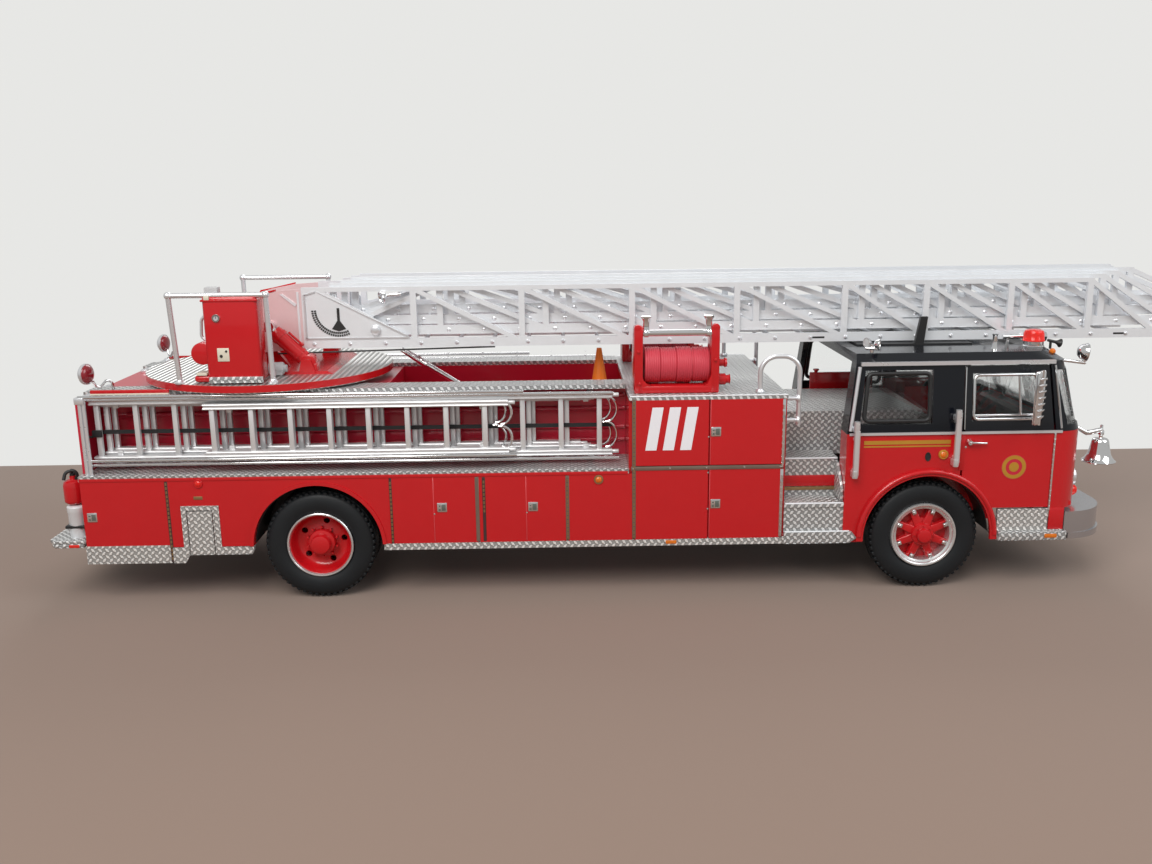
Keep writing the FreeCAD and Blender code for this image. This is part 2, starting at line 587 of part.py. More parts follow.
REAR_WINDOW = (2.1, 16.2, 33.2, 43.4)       # from the cab's rear corner: rear x, front x; bottom z, top z
DOOR_WINDOW = (7.5, 20.0, 33.6, 42.6)       # from the front axle: rear x, front x; bottom z, top z
WINDSHIELD_SILL = 32.6
WINDSHIELD_TOP = 43.0
A_PILLAR_FOOT = 26.0                        # front edge of the windshield pillar, from the front axle
A_PILLAR_HEAD = 23.4
CORNER_POST = 0.9


def window_prisms(y0, y1):
    rx0, rx1, rz0, rz1 = REAR_WINDOW
    dx0, dx1, dz0, dz1 = DOOR_WINDOW
    rear = side_prism([(CAB_REAR_X + rx0 + 0.3, rz0), (CAB_REAR_X + rx1, rz0), (CAB_REAR_X + rx1, rz1),
                       (CAB_REAR_X + rx0 + 1.2, rz1)], y0, y1)
    door = block(WHEELBASE + dx0, WHEELBASE + dx1, y0, y1, dz0, dz1)
    return rear, door


def windshield_prism():
    beyond = CAB_FRONT_X + 5
    foot = WHEELBASE + A_PILLAR_FOOT
    head = WHEELBASE + A_PILLAR_HEAD
    return side_prism([(foot, WINDSHIELD_SILL), (beyond, WINDSHIELD_SILL), (beyond, WINDSHIELD_TOP),
                       (head, WINDSHIELD_TOP)], -40, 40)


def door_region(grow):
    """The space of the two cab doors; grow widens it for the seam round them."""
    x0 = WHEELBASE + DOOR_REAR - grow
    x1 = WHEELBASE + DOOR_FRONT + grow
    prism = side_prism([(x0, CAB_SILL_Z + 0.1 - grow), (x1, CAB_SILL_Z + 0.1 - grow), (x1, BELT_Z),
                        (x1 - 1.5, GUTTER_Z - 0.5 + grow), (x0, GUTTER_Z - 0.5 + grow)], -40, 40)
    middle = block(x0 - 1, x1 + 1, -CAB_HALF_WIDTH + CAB_WALL + 2, CAB_HALF_WIDTH - CAB_WALL - 2, 0, 80)
    return prism.cut(middle)


def cab_shells():
    lower_out, upper_out = cab_solid(0.0)
    lower_in, upper_in = cab_solid(CAB_WALL)
    lower = lower_out.cut(lower_in)
    upper = upper_out.cut(upper_in)
    behind = block(CAB_REAR_X - 1, CAB_REAR_X + CAB_WALL + REAR_LEAN, -CAB_TOP_HALF_WIDTH + 3.2,
                   CAB_TOP_HALF_WIDTH - 3.2, 0, 80)
    lower = lower.cut(behind)
    upper = upper.cut(behind)
    arch = arch_cutter(WHEELBASE, -40, 40, ARCH_RADIUS)
    front_bottom = block(WHEELBASE, CAB_FRONT_X + 9, -40, 40, 0, CAB_SILL_Z)
    lower = lower.cut(arch.fuse(front_bottom))
    rear_window, door_window = window_prisms(-40, 40)
    glass_shell = cab_solid(0.25)[1].cut(cab_solid(0.75)[1])
    post = block(CAB_FRONT_X - 9, CAB_FRONT_X + 2, -CORNER_POST / 2, CORNER_POST / 2, BELT_Z, GUTTER_Z)
    shield = windshield_prism().cut(post)
    openings = rear_window.fuse([door_window, shield])
    upper_open = upper.cut(openings)
    seam = door_region(SEAM / 2)
    leaf = door_region(-SEAM / 2)
    lower_panels = [lower.cut(seam)] + both_sides([front_arch_flare()]) + cab_inner_panels()
    add("cab_lower", fuse_in_turn(lower_panels))
    add("cab_upper", upper_open.cut(seam))
    doors = fuse([lower.copy(), upper_open.copy()]).common(leaf)
    add("cab_doors", [s for s in doors.Solids if s.Volume > 20])
    panes = glass_shell.common(openings)
    add("cab_glass", [s for s in panes.Solids if s.Volume > 0.5])


def cab_inner_panels():
    """Floor, wheel wells and the wall behind the front seats."""
    inner = CAB_HALF_WIDTH - CAB_WALL
    well_y = TRACK_FACE - TYRE_WIDTH - 1.3
    well = arch_cutter(WHEELBASE, -inner - 0.5, -well_y, ARCH_RADIUS + SHEET)
    well = well.cut(arch_cutter(WHEELBASE, -inner - 2, -well_y - SHEET, ARCH_RADIUS))
    well = well.cut(block(WHEELBASE - 20, WHEELBASE + 20, -40, 0, -3 * ARCH_RADIUS, STRIP_BOTTOM_Z + 4))
    well = well.cut(block(WHEELBASE + DOOR_REAR - SEAM, WHEELBASE + 20, -40, -inner + 0.1, 0, BELT_Z))
    floor_z = max(CAB_SILL_Z, RAIL_TOP_Z + 0.2)
    floor_x = (WHEELBASE + ARCH_RADIUS, CAB_FRONT_X - CAB_WALL - 0.5)
    floor = block(*floor_x, -inner, inner, floor_z, floor_z + SHEET)
    shelf = block(CAB_REAR_X + 3.0, WHEELBASE + ARCH_RADIUS + SHEET, -inner, -COVER_Y - RUN_GAP,
                  CAB_FLOOR_Z - SHEET, CAB_FLOOR_Z)
    side_floor = block(WHEELBASE - ARCH_RADIUS, WHEELBASE + ARCH_RADIUS, -well_y, -RAIL_Y - 1.2,
                       CAB_SILL_Z + 1.5, CAB_SILL_Z + 1.5 + SHEET)
    wall_x = WHEELBASE + DOOR_REAR - 3.0
    wall = block(wall_x, wall_x + SHEET, -inner, inner, CAB_FLOOR_Z - SHEET, BELT_Z - 0.5)
    riser = block(WHEELBASE + ARCH_RADIUS, WHEELBASE + ARCH_RADIUS + SHEET, -inner, inner,
                  floor_z, CAB_FLOOR_Z)
    return both_sides([well, shelf, side_floor]) + [floor, wall, riser]


def cab_roof():
    """A crowned roof with rounded front, on the gutter line."""
    low = cab_outline(CAB_REAR_X + REAR_LEAN, CAB_FRONT_X - WINDSHIELD_RAKE, CAB_TOP_HALF_WIDTH, CAB_CORNER,
                      GUTTER_Z, 0)
    top = cab_outline(CAB_REAR_X + REAR_LEAN + 0.6, CAB_FRONT_X - WINDSHIELD_RAKE - 2.2,
                      CAB_TOP_HALF_WIDTH - 2.4, CAB_CORNER, ROOF_CROWN_Z, 0)
    return Part.makeLoft([low, top], True, True)


def cab_trim():
    """Chrome: gutters, the strip along the belt and the rear pillars' edges."""
    x0 = CAB_REAR_X + REAR_LEAN + 0.8
    x1 = WHEELBASE + A_PILLAR_HEAD - 0.5
    y_top = -CAB_TOP_HALF_WIDTH
    gutter = block(x0, x1, y_top - 0.65, y_top - 0.05, GUTTER_Z - 0.35, GUTTER_Z + 0.35)
    y_belt = -CAB_HALF_WIDTH
    belt_x = (CAB_REAR_X + 0.4, CAB_FRONT_X - CAB_CORNER)
    belt = block(*belt_x, y_belt - 0.3, y_belt, BELT_Z - 0.25, BELT_Z + 0.25)
    foot = (CAB_REAR_X + 0.5, y_belt - 0.42, BELT_Z + 0.7)
    pillar = rod(foot, (x0 - 0.2, y_top - 0.45, GUTTER_Z - 0.5), 0.35)
    nose = block(CAB_FRONT_X, CAB_FRONT_X + 0.3, -CAB_HALF_WIDTH + CAB_CORNER, CAB_HALF_WIDTH - CAB_CORNER,
                 BELT_Z - 0.25, BELT_Z + 0.25)
    return both_sides([gutter, belt, pillar]) + [nose]


SEAT_OFF_COVER = 4.0         # seat's middle line from the engine cover's side


def cab_seats():
    """Two front seats and two rear-facing seats over the wheel wells."""
    seats = []
    front_x = WHEELBASE + DOOR_REAR - 1.8
    z = CAB_FLOOR_Z
    y = -COVER_Y - SEAT_OFF_COVER
    seats.append(fuse([block(front_x, front_x + 8.5, y - 4.0, y + 4.0, z, z + 2.2),
                       block(front_x, front_x + 2.0, y - 4.0, y + 4.0, z, z + 10.5)]))
    back_x = WHEELBASE + DOOR_REAR - 3.4
    seats.append(fuse([block(back_x - 7.5, back_x, y - 3.2, y + 3.6, z, z + 2.0),
                       block(back_x - 1.6, back_x, y - 3.2, y + 3.6, z, z + 8.5)]))
    return both_sides(seats)


STEERING_RADIUS = 3.6


def dashboard():
    """Dashboard across the cab, and the steering wheel on its column at the left."""
    x1 = CAB_FRONT_X - CAB_WALL
    half = CAB_HALF_WIDTH - CAB_WALL - 4.0
    low = BELT_Z - 6.0
    dash = side_prism([(x1, low), (x1, BELT_Z - 0.2), (x1 - 4.0, BELT_Z - 0.6), (x1 - 5.0, BELT_Z - 3.0),
                       (x1 - 3.5, low)], -half, half)
    y = CAB_HALF_WIDTH - 10.3
    hub = Vector(x1 - 7.2, y, BELT_Z + 0.2)
    root = Vector(x1 - 3.0, y, BELT_Z - 4.0)
    column = rod(root, hub, 0.5)
    wheel = Part.makeTorus(STEERING_RADIUS, 0.4, hub, hub.sub(root))
    spoke = Vector(0, STEERING_RADIUS, 0)
    spokes = rod(hub.sub(spoke), hub.add(spoke), 0.3)
    return fuse([dash, column, wheel, spokes])


# ---------------------------------------------------------------- front end
BUMPER_Z = (9.9, 15.4)


def front_bumper():
    """Deep bumper with a treadplate top and rounded corners, on the chassis rails."""
    z0, z1 = BUMPER_Z
    x0 = CAB_FRONT_X - 3.0
    plan = cab_outline(x0, BUMPER_FRONT_X, CAB_HALF_WIDTH, 9.0, z0 + 1.2, 0)
    body = Part.Face(plan).extrude(Vector(0, 0, z1 - z0 - 1.2))
    hollow = Part.Face(cab_outline(x0 - 3, BUMPER_FRONT_X, CAB_HALF_WIDTH, 9.0, z0 - 1, 1.2))
    body = body.cut(hollow.extrude(Vector(0, 0, z1 - z0 + 1 - 0.9)))
    lower = Part.Face(cab_outline(x0 + 1, BUMPER_FRONT_X + 0.4, CAB_HALF_WIDTH, 9.0, z0, 0))
    lower = lower.extrude(Vector(0, 0, 1.2)).cut(hollow.extrude(Vector(0, 0, 6)))
    shell = body.fuse(lower)
    shell = shell.cut(block(x0 - 9, CAB_FRONT_X - 1.0, -RAIL_Y - 1.6, RAIL_Y + 1.6, 0, 40))
    return shell.cut(block(x0 - 9, CAB_FRONT_X + 0.01, -40, 40, CAB_SILL_Z - 0.6, 40)).removeSplitter()


GRILLE_Z = (17.4, 26.0)
GRILLE_HALF = CAB_HALF_WIDTH - 13.8
LAMP_PAIR_Y = (CAB_HALF_WIDTH - 11.3, CAB_HALF_WIDTH - 7.1)
LAMP_Z = 20.6


def front_grille():
    """Framed grille with bars, twin round lamps each side in chrome bezels."""
    x0 = CAB_FRONT_X
    z0, z1 = GRILLE_Z
    frame = block(x0, x0 + 0.9, -GRILLE_HALF, GRILLE_HALF, z0, z1)
    frame = frame.cut(block(x0 - 1, x0 + 2, -GRILLE_HALF + 0.8, GRILLE_HALF - 0.8, z0 + 0.8, z1 - 0.8))
    bars = [frame]
    count = 6
    for i in range(count):
        z = z0 + 0.8 + (i + 0.5) * (z1 - z0 - 1.6) / count
        bars.append(block(x0, x0 + 0.6, -GRILLE_HALF + 0.2, GRILLE_HALF - 0.2, z - 0.25, z + 0.25))
    return fuse(bars)


def headlamps():
    bezels = []
    for y in (-LAMP_PAIR_Y[0], -LAMP_PAIR_Y[1]):
        bezels.append(rod((CAB_FRONT_X, y, LAMP_Z), (CAB_FRONT_X + 1.2, y, LAMP_Z), 2.0))
    return both_sides(bezels)


BELL_X = 6.9                 # from the cab's front face
BELL_Y = -16.0
BELL_Z = 23.2


def bell():
    """Bell on a bracket below the right windshield corner."""
    x = CAB_FRONT_X + BELL_X
    outline = [(0, 5.9), (0.7, 5.9), (1.6, 5.4), (1.9, 3.6), (2.3, 1.6), (3.4, 0.0), (2.9, 0.0), (1.8, 1.6),
               (1.4, 3.4), (1.1, 4.6), (0, 5.0)]
    points = [Vector(x + r, BELL_Y, BELL_Z + z) for r, z in outline]
    face = Part.Face(Part.makePolygon(points + [points[0]]))
    cup = face.revolve(Vector(x, BELL_Y, BELL_Z), Z_AXIS, 360)
    knob = rod((x, BELL_Y, BELL_Z + 5.5), (x, BELL_Y, BELL_Z + 7.6), 0.35)
    arm = rod((x, BELL_Y, BELL_Z + 6.9), (CAB_FRONT_X + 0.3, BELL_Y, BELL_Z + 6.0), 0.55)
    foot = rod((CAB_FRONT_X, BELL_Y, BELL_Z + 6.0), (CAB_FRONT_X + 0.5, BELL_Y, BELL_Z + 6.0), 1.1)
    return fuse([cup, knob, arm, foot])


# ---------------------------------------------------------------- on the roof
def on_roof(y):
    """Height of the roof's surface at this y."""
    edge = CAB_TOP_HALF_WIDTH - 2.4
    if abs(y) <= edge:
        return ROOF_CROWN_Z
    return ROOF_CROWN_Z - (abs(y) - edge) / 2.4 * (ROOF_CROWN_Z - GUTTER_Z)


BEACON = (22.3, -14.6, 2.1)  # from the front axle x, y, radius


def beacon():
    x = WHEELBASE + BEACON[0]
    y = BEACON[1]
    r = BEACON[2]
    base = rod((x, y, ROOF_CROWN_Z), (x, y, ROOF_CROWN_Z + 1.1), r * 0.95)
    dome = rod((x, y, ROOF_CROWN_Z + 1.1), (x, y, ROOF_CROWN_Z + 3.4), r)
    dome = dome.makeFillet(0.7, [e for e in dome.Edges if e.BoundBox.ZMin > ROOF_CROWN_Z + 3.3])
    return fuse([base, dome])


HORN_TABLE = [               # from the front axle: mouth x, tail x; y, height above the roof, mouth radius
    (26.0, 17.5, -11.3, 1.5, 1.0),
    (22.4, 13.2, 12.2, 1.5, 1.0),
    (20.4, 9.6, 15.6, 1.5, 1.1),
]


def roof_horns():
    """Trumpet horns on short posts."""
    horns = []
    for mouth, tail, y, up, radius in HORN_TABLE:
        z = ROOF_CROWN_Z + up
        x0 = WHEELBASE + tail
        x1 = WHEELBASE + mouth
        flare = Part.makeCone(0.45, radius, 2.4, Vector(x1 - 2.4, y, z), X_AXIS)
        pipe = rod((x0, y, z), (x1 - 2.3, y, z), 0.45)
        posts = [rod((x, y, ROOF_CROWN_Z), (x, y, z), 0.4) for x in (x0 + 1.0, x1 - 3.4)]
        horns.append(fuse([flare, pipe] + posts))
    return horns


CRADLE_X = (5.0, 28.0)       # rear and front of the ladder's cradle, from the cab's rear corner
POST_Y = 9.6


def ladder_cradle():
    """Black tray on the roof below the ladder, and a leaning guide post each side."""
    half = LADDER_HALF_WIDTH + 2.4
    rear, front = [CAB_REAR_X + x for x in CRADLE_X]
    tray = block(rear, front, -half, half, ROOF_CROWN_Z, LADDER_CHORD_Z - 0.3)
    x = WHEELBASE + 1.2
    post = side_prism([(x - 0.9, ROOF_CROWN_Z), (x + 0.9, ROOF_CROWN_Z), (x + 1.5, ROOF_CROWN_Z + 5.6),
                       (x + 0.1, ROOF_CROWN_Z + 5.6)], -POST_Y - 0.9, -POST_Y)
    return fuse([tray] + both_sides([post]))


def roof_lamps():
    """Twin chrome lamps at the roof's rear corners and one lamp on an arm at each windshield corner."""
    lamps = []
    x = CAB_REAR_X + REAR_LEAN + 3.2
    z = GUTTER_Z + 3.6
    y = -CAB_TOP_HALF_WIDTH + 3.2
    lamps.append(fuse([rod((x, y, ROOF_CROWN_Z), (x, y, z - 0.6), 0.45),
                       rod((x - 0.4, y - 1.0, z), (x + 1.8, y - 1.0, z), 1.0),
                       rod((x, y - 1.2, z - 0.8), (x, y + 0.4, z - 0.8), 0.4)]))
    cx = CAB_FRONT_X + 0.9
    cy = -CAB_TOP_HALF_WIDTH + 4.8
    cz = GUTTER_Z + 0.9
    arm_end = (CAB_FRONT_X - WINDSHIELD_RAKE + 0.5, cy, GUTTER_Z - 0.6)
    lamps.append(fuse([ball((cx, cy, cz), 1.7), rod((cx, cy, cz), (cx + 0.2, cy, GUTTER_Z - 1.4), 0.35),
                       rod((cx + 0.2, cy, GUTTER_Z - 1.2), arm_end, 0.35)]))
    return both_sides(lamps)


def mirrors():
    """A long mirror each side on two arms from the windshield pillar."""
    x = WHEELBASE + DOOR_FRONT - 4.2
    y = -CAB_HALF_WIDTH - 3.4
    low = BELT_Z + 1.9
    high = GUTTER_Z - 1.0
    head = block(x - 0.8, x + 0.8, y - 1.5, y + 1.5, low, high)
    head = head.makeFillet(0.3, [e for e in head.Edges if e.BoundBox.ZLength > 5])
    root_x = WHEELBASE + DOOR_FRONT - 1.6
    arms = []
    for z in (high - 1.2, low - 1.4):
        arms.append(rod((x, y, z), (root_x, -cab_side(z) - 0.05, z), 0.3))
    stem = rod((x, y, low - 1.4), (x, y, low + 0.2), 0.3)
    return both_sides([fuse([head, stem] + arms)])


def grab_rails():
    """Inverted U rails over the step well and upright rails at the cab's rear corner and door."""
    x0 = BOX_FRONT_X - 5.0
    x1 = BOX_FRONT_X + 2.5
    y = -HALF_WIDTH + 2.0
    top = REEL_BOX_TOP_Z + 6.9
    hoop = bent_tube([(x0, y, REEL_BOX_TOP_Z), (x0, y, top), (x1, y, top), (x1, y, DECK_Z + 7.6)], 0.45, 3.2)
    feet = [rod((BOX_FRONT_X, y, z), (x1, y, z), 0.4) for z in (DECK_Z + 8.6, REEL_BOX_TOP_Z - 1.2)]
    rails = [fuse([hoop] + feet)]
    out = -CAB_HALF_WIDTH - 1.6
    for x, z0, z1 in ((CAB_REAR_X + 1.6, BELT_Z - 7.6, BELT_Z + 1.0),
                      (WHEELBASE + DOOR_REAR - 1.6, BELT_Z - 5.4, BELT_Z + 4.2)):
        upright = rod((x, out, z0), (x, out, z1), 0.48)
        lug_low = rod((x, out, z0 + 0.7), (x, -CAB_HALF_WIDTH - 0.05, z0 + 0.7), 0.45)
        lug_high = rod((x, out, z1 - 1.9), (x, -cab_side(z1 - 1.9), z1 - 1.9), 0.45)
        rails.append(fuse([upright, lug_low, lug_high]))
    return both_sides(rails)


def cab_side(z):
    """Half width of the cab at this height: its sides lean in above the belt."""
    lean = (CAB_HALF_WIDTH - CAB_TOP_HALF_WIDTH) / (GUTTER_Z - BELT_Z)
    return CAB_HALF_WIDTH - max(0.0, z - BELT_Z - 0.45) * lean


# ---------------------------------------------------------------- hose reels
REEL_X = (1.1, 17.3)         # ends of the reel's frame, from the reel box's rear
REEL_Y = (HALF_WIDTH - 9.1, HALF_WIDTH - 2.1)
REEL_TOP_Z = 52.6
DRUM_Z = 44.4
DRUM_RADIUS = 3.5
ROLLER_RADIUS = 0.75


def reel_frames():
    """Two end plates on a base, with a motor at the front end."""
    x0 = BOX_REAR_X + REEL_X[0]
    x1 = BOX_REAR_X + REEL_X[1]
    y0 = -REEL_Y[1]
    y1 = -REEL_Y[0]
    z0 = REEL_BOX_TOP_Z
    outline = [(y0, z0), (y1, z0), (y1 - 1.0, DRUM_Z + 2), (y1 - 3.6, REEL_TOP_Z), (y0, REEL_TOP_Z)]
    ends = [cross_prism(outline, x, x + 1.4) for x in (x0, x1 - 1.4)]
    base = block(x0, x1, y0, y1, z0, z0 + 0.9)
    axle_y = (y0 + y1) / 2 + 0.3
    axle = rod((x0, axle_y, DRUM_Z), (x1, axle_y, DRUM_Z), 0.6)
    motor = rod((x1, axle_y - 1.0, DRUM_Z - 2.8), (x1 + 2.4, axle_y - 1.0, DRUM_Z - 2.8), 1.1)
    second = rod((x1, axle_y - 1.0, DRUM_Z + 0.4), (x1 + 1.8, axle_y - 1.0, DRUM_Z + 0.4), 0.7)
    return both_sides([fuse(ends + [base, axle, motor, second])])


def reel_rollers():
    """Chrome guide rollers in front of the hose: one level, two upright."""
    x0 = BOX_REAR_X + REEL_X[0] + 1.4
    x1 = BOX_REAR_X + REEL_X[1] - 1.4
    y = -REEL_Y[1] + 0.7
    top = REEL_TOP_Z + 1.3
    parts = [rod((x0, y, top - 3.0), (x1, y, top - 3.0), ROLLER_RADIUS)]
    for x in (x0 + 0.8, x1 - 0.8):
        parts.append(rod((x, y, top - 3.5), (x, y, top), ROLLER_RADIUS))
        parts.append(rod((x, y, top), (x, y, top + 0.3), 1.05))
    return both_sides([fuse(parts)])


def hose_reels():
    """The wound hose, with its hub clear of the reel's axle."""
    x0 = BOX_REAR_X + REEL_X[0] + 1.4 + RUN_GAP
    x1 = BOX_REAR_X + REEL_X[1] - 1.4 - RUN_GAP
    axle_y = -(REEL_Y[0] + REEL_Y[1]) / 2 + 0.3
    return both_sides([ring(DRUM_RADIUS, 0.6 + FIT_GAP, (x0, axle_y, DRUM_Z), X_AXIS, x1 - x0)])


# ---------------------------------------------------------------- ground ladders and gear
GROUND_LADDERS = [           # name, rear x, front x, outer y, bottom z, top z, rung pitch
    ("long", BODY_REAR_X + 2.0, BOX_REAR_X - 3.0, HALF_WIDTH - 3.4, DECK_Z + 1.0, RACK_TOP_Z - 1.4, 7.6),
    ("short", -20.5, 37.0, HALF_WIDTH - 1.6, DECK_Z + 2.6, RACK_TOP_Z - 2.3, 7.6),
]
GROUND_RAIL = 1.2            # height of a rail
GROUND_DEPTH = 1.4           # rail's thickness across the truck
NEST_STEP = 0.9              # how far the nested ladder's rails lie inside the long one's
NEST_GAP = 0.3


def ground_ladder(x0, x1, y, z0, z1, pitch):
    """One ladder on edge: two rails and the rungs that end on them."""
    parts = [block(x0, x1, -y, -y + GROUND_DEPTH, low, low + GROUND_RAIL) for low in (z0, z1 - GROUND_RAIL)]
    count = int((x1 - x0) / pitch)
    start = x0 + (x1 - x0 - (count - 1) * pitch) / 2
    low = z0 + GROUND_RAIL
    high = z1 - GROUND_RAIL
    for i in range(count):
        x = start + i * pitch
        parts.append(block(x - 0.6, x + 0.6, -y + 0.3, -y + GROUND_DEPTH - 0.3, low, high))
    return parts


def ground_ladders():
    """Nested ladders on edge in each rack, held on brackets from the back wall."""
    (_, x0, x1, y, z0, z1, pitch), short = GROUND_LADDERS
    parts = ground_ladder(x0, x1, y, z0, z1, pitch)
    nested_y = y - GROUND_DEPTH - NEST_GAP
    parts += ground_ladder(x0 + 2.4, x1 - 6.0, nested_y, z0 + NEST_STEP, z1 - NEST_STEP, pitch)
    parts += ground_ladder(*short[1:])
    for x in (x0 + 4.0, x1 - 4.0):
        for low in (z0, z1 - NEST_STEP):
            parts.append(block(x - 0.6, x + 0.6, -y + GROUND_DEPTH, -RACK_BACK_Y, low, low + NEST_STEP))
    short_y, short_z0, short_z1 = short[3:6]
    mid = GROUND_RAIL / 2
    hangers = [(z0 + mid, short_z0 + mid), (short_z1 - mid, z1 - mid)]
    for x in (short[1] + 4.5, short[2] - 5.0):
        for low, high in hangers:
            parts.append(block(x - 0.5, x + 0.5, -short_y + GROUND_DEPTH, -y, low, high))
    return both_sides(parts)


def rack_posts():
    """Bright posts at the racks' rear ends with tubes along the racks' upper edge."""
    x0 = BODY_REAR_X + SHEET
    y = -HALF_WIDTH
    post = block(x0, x0 + 1.5, y, y + 1.6, DECK_Z, RACK_TOP_Z - 0.6)
    head = block(x0, x0 + 1.5, y, -RACK_BACK_Y - CAP_OUT + 0.6, RACK_TOP_Z - SHEET - 0.5, RACK_TOP_Z - SHEET)
    tubes = [rod((x0 + 0.5, y + dy, RACK_TOP_Z - dz), (BOX_REAR_X - 1.0, y + dy, RACK_TOP_Z - dz), 0.5)
             for dy, dz in ((1.0, 0.6), (3.0, 0.6))]
    return both_sides([fuse([post, head] + tubes)])


CONE_RADIUS = 2.6
CONE_HEIGHT = 13.4
CONE_BASE_HALF = 3.2


def traffic_cones():
    """A cone standing at the front of the hose bed and one lying behind it."""
    x = BOX_REAR_X - CONE_BASE_HALF - 1.4
    z = BED_FLOOR_Z
    half = CONE_BASE_HALF
    base = block(x - half, x + half, -half, half, z, z + 0.6)
    standing = Part.makeCone(CONE_RADIUS, 0.5, CONE_HEIGHT, Vector(x, 0, z + 0.6), Z_AXIS)
    mouth = Vector(BED_REAR_X + 22.0, RACK_BACK_Y - SHEET - CONE_RADIUS - 1.0, z + CONE_RADIUS + 0.1)
    lying = Part.makeCone(CONE_RADIUS, 0.5, CONE_HEIGHT, mouth, Vector(-1, 0, 0))
    return [fuse([standing, base]), lying]


def playpipe():
    """A nozzle on a pipe, leaning on the hose bed's cross wall."""
    foot = (BED_REAR_X + 24.0, -3.0, BED_FLOOR_Z + 0.6)
    tip = (BED_REAR_X + 1.6, -0.6, RACK_TOP_Z + 4.9)
    a = Vector(*foot)
    b = Vector(*tip)
    way = b.sub(a).normalize()
    low = Part.makeCylinder(0.55, a.distanceToPoint(b) - 2.0, a, way)
    nozzle = Part.makeCone(0.9, 0.5, 6.0, b.sub(way * 6.0), way)
    return fuse([low, nozzle])


# ---------------------------------------------------------------- rear end
def rear_step():
    """Treadplate step on two brackets behind the body."""
    x0 = STEP_REAR_X
    z = STRIP_BOTTOM_Z
    x1 = BODY_REAR_X
    plate = side_prism([(x0, z), (x1, z), (x1, z + 2.2), (x0 + 1.0, z + 2.2), (x0, z + 1.2)],
                       -HALF_WIDTH + 1.0, HALF_WIDTH - 1.0)
    arms = both_sides([block(x1, x1 + 0.8, -RAIL_Y - 0.8, -RAIL_Y + 0.8, z, RAIL_BOTTOM_Z + 3)])
    return fuse([plate] + arms)


def extinguishers():
    """A red and a silver bottle on the rear step, strapped to the rear wall."""
    bottles = []
    z0 = STRIP_BOTTOM_Z + 2.2
    x = BODY_REAR_X - 2.3
    y = -HALF_WIDTH + 3.6
    bottles.append(fuse([rod((x, y, z0), (x, y, z0 + 6.6), 1.6),
                         Part.makeCone(1.6, 0.7, 1.0, Vector(x, y, z0 + 6.6), Z_AXIS),
                         block(x, BODY_REAR_X, y - 0.4, y + 0.4, z0 + 3.0, z0 + 3.8)]))
    xr = x - 0.2
    zr = z0 + 8.0
    red = [rod((xr, y, zr), (xr, y, zr + 4.6), 1.9), rod((xr, y, zr + 4.4), (xr, y, zr + 6.6), 0.5),
           block(xr, BODY_REAR_X, y - 0.4, y + 0.4, zr + 1.6, zr + 2.6)]
    bottles.append(fuse(red))
    return bottles


REAR_LAMP = (9.1, 3.8, 1.5)                 # in from the side y, below the deck z; radius


def rear_lamps():
    """A round lamp each side on the rear wall."""
    y_in, down, radius = REAR_LAMP
    y = HALF_WIDTH - y_in
    z = DECK_Z - down
    return both_sides([rod((BODY_REAR_X - 0.8, -y, z), (BODY_REAR_X, -y, z), radius)])


WARNING_LAMP = (2.0, 4.1, 3.9, 2.0)         # in from the rear, in from the side, above the rack; radius


def rear_warning_lamps():
    """A round lamp each side on a bent wire arm from the rack's cap."""
    x_in, y_in, up, r = WARNING_LAMP
    x = BODY_REAR_X + x_in
    y = HALF_WIDTH - y_in
    z = RACK_TOP_Z + up
    lamp = Part.makeSphere(r, Vector(x, -y, z))
    lamp = lamp.common(block(x - 0.9, x + 0.9, -y - r, -y + r, z - r, z + r))
    foot_y = -RACK_BACK_Y - CAP_OUT + 1.0
    arm = bent_tube([(x + 3.6, foot_y, RACK_TOP_Z), (x + 3.6, foot_y, RACK_TOP_Z + 2.4),
                     (x, -y, RACK_TOP_Z + 1.6), (x, -y, z - r + 0.3)], 0.28, 0.5)
    return both_sides([fuse([lamp, arm])])


# ---------------------------------------------------------------- turntable
def bearing_ring():
    """Fixed ring under the turntable."""
    top = RACK_TOP_Z - SHEET
    return ring(BEARING_RADIUS, BEARING_RADIUS - 2.2, (TURNTABLE_X, 0, top), Z_AXIS,
                TURNTABLE_BOTTOM_Z - RUN_GAP - top)


def turntable_deck():
    """Ribbed round deck with a rolled rim."""
    x = TURNTABLE_X
    plate = rod((x, 0, TURNTABLE_BOTTOM_Z), (x, 0, TURNTABLE_TOP_Z), TURNTABLE_RADIUS)
    rim_foot = (x, 0, TURNTABLE_TOP_Z - TURNTABLE_RIM)
    rim = ring(TURNTABLE_RADIUS, TURNTABLE_RADIUS - 1.0, rim_foot, Z_AXIS, TURNTABLE_RIM)
    return fuse([plate, rim])


TRUNNION_Y = (5.7, 7.1)
PEDESTAL = (-18.9, -8.5, 1.9, 6.9, 15.8)     # rear x, front x; outer and inner face in from the side; height


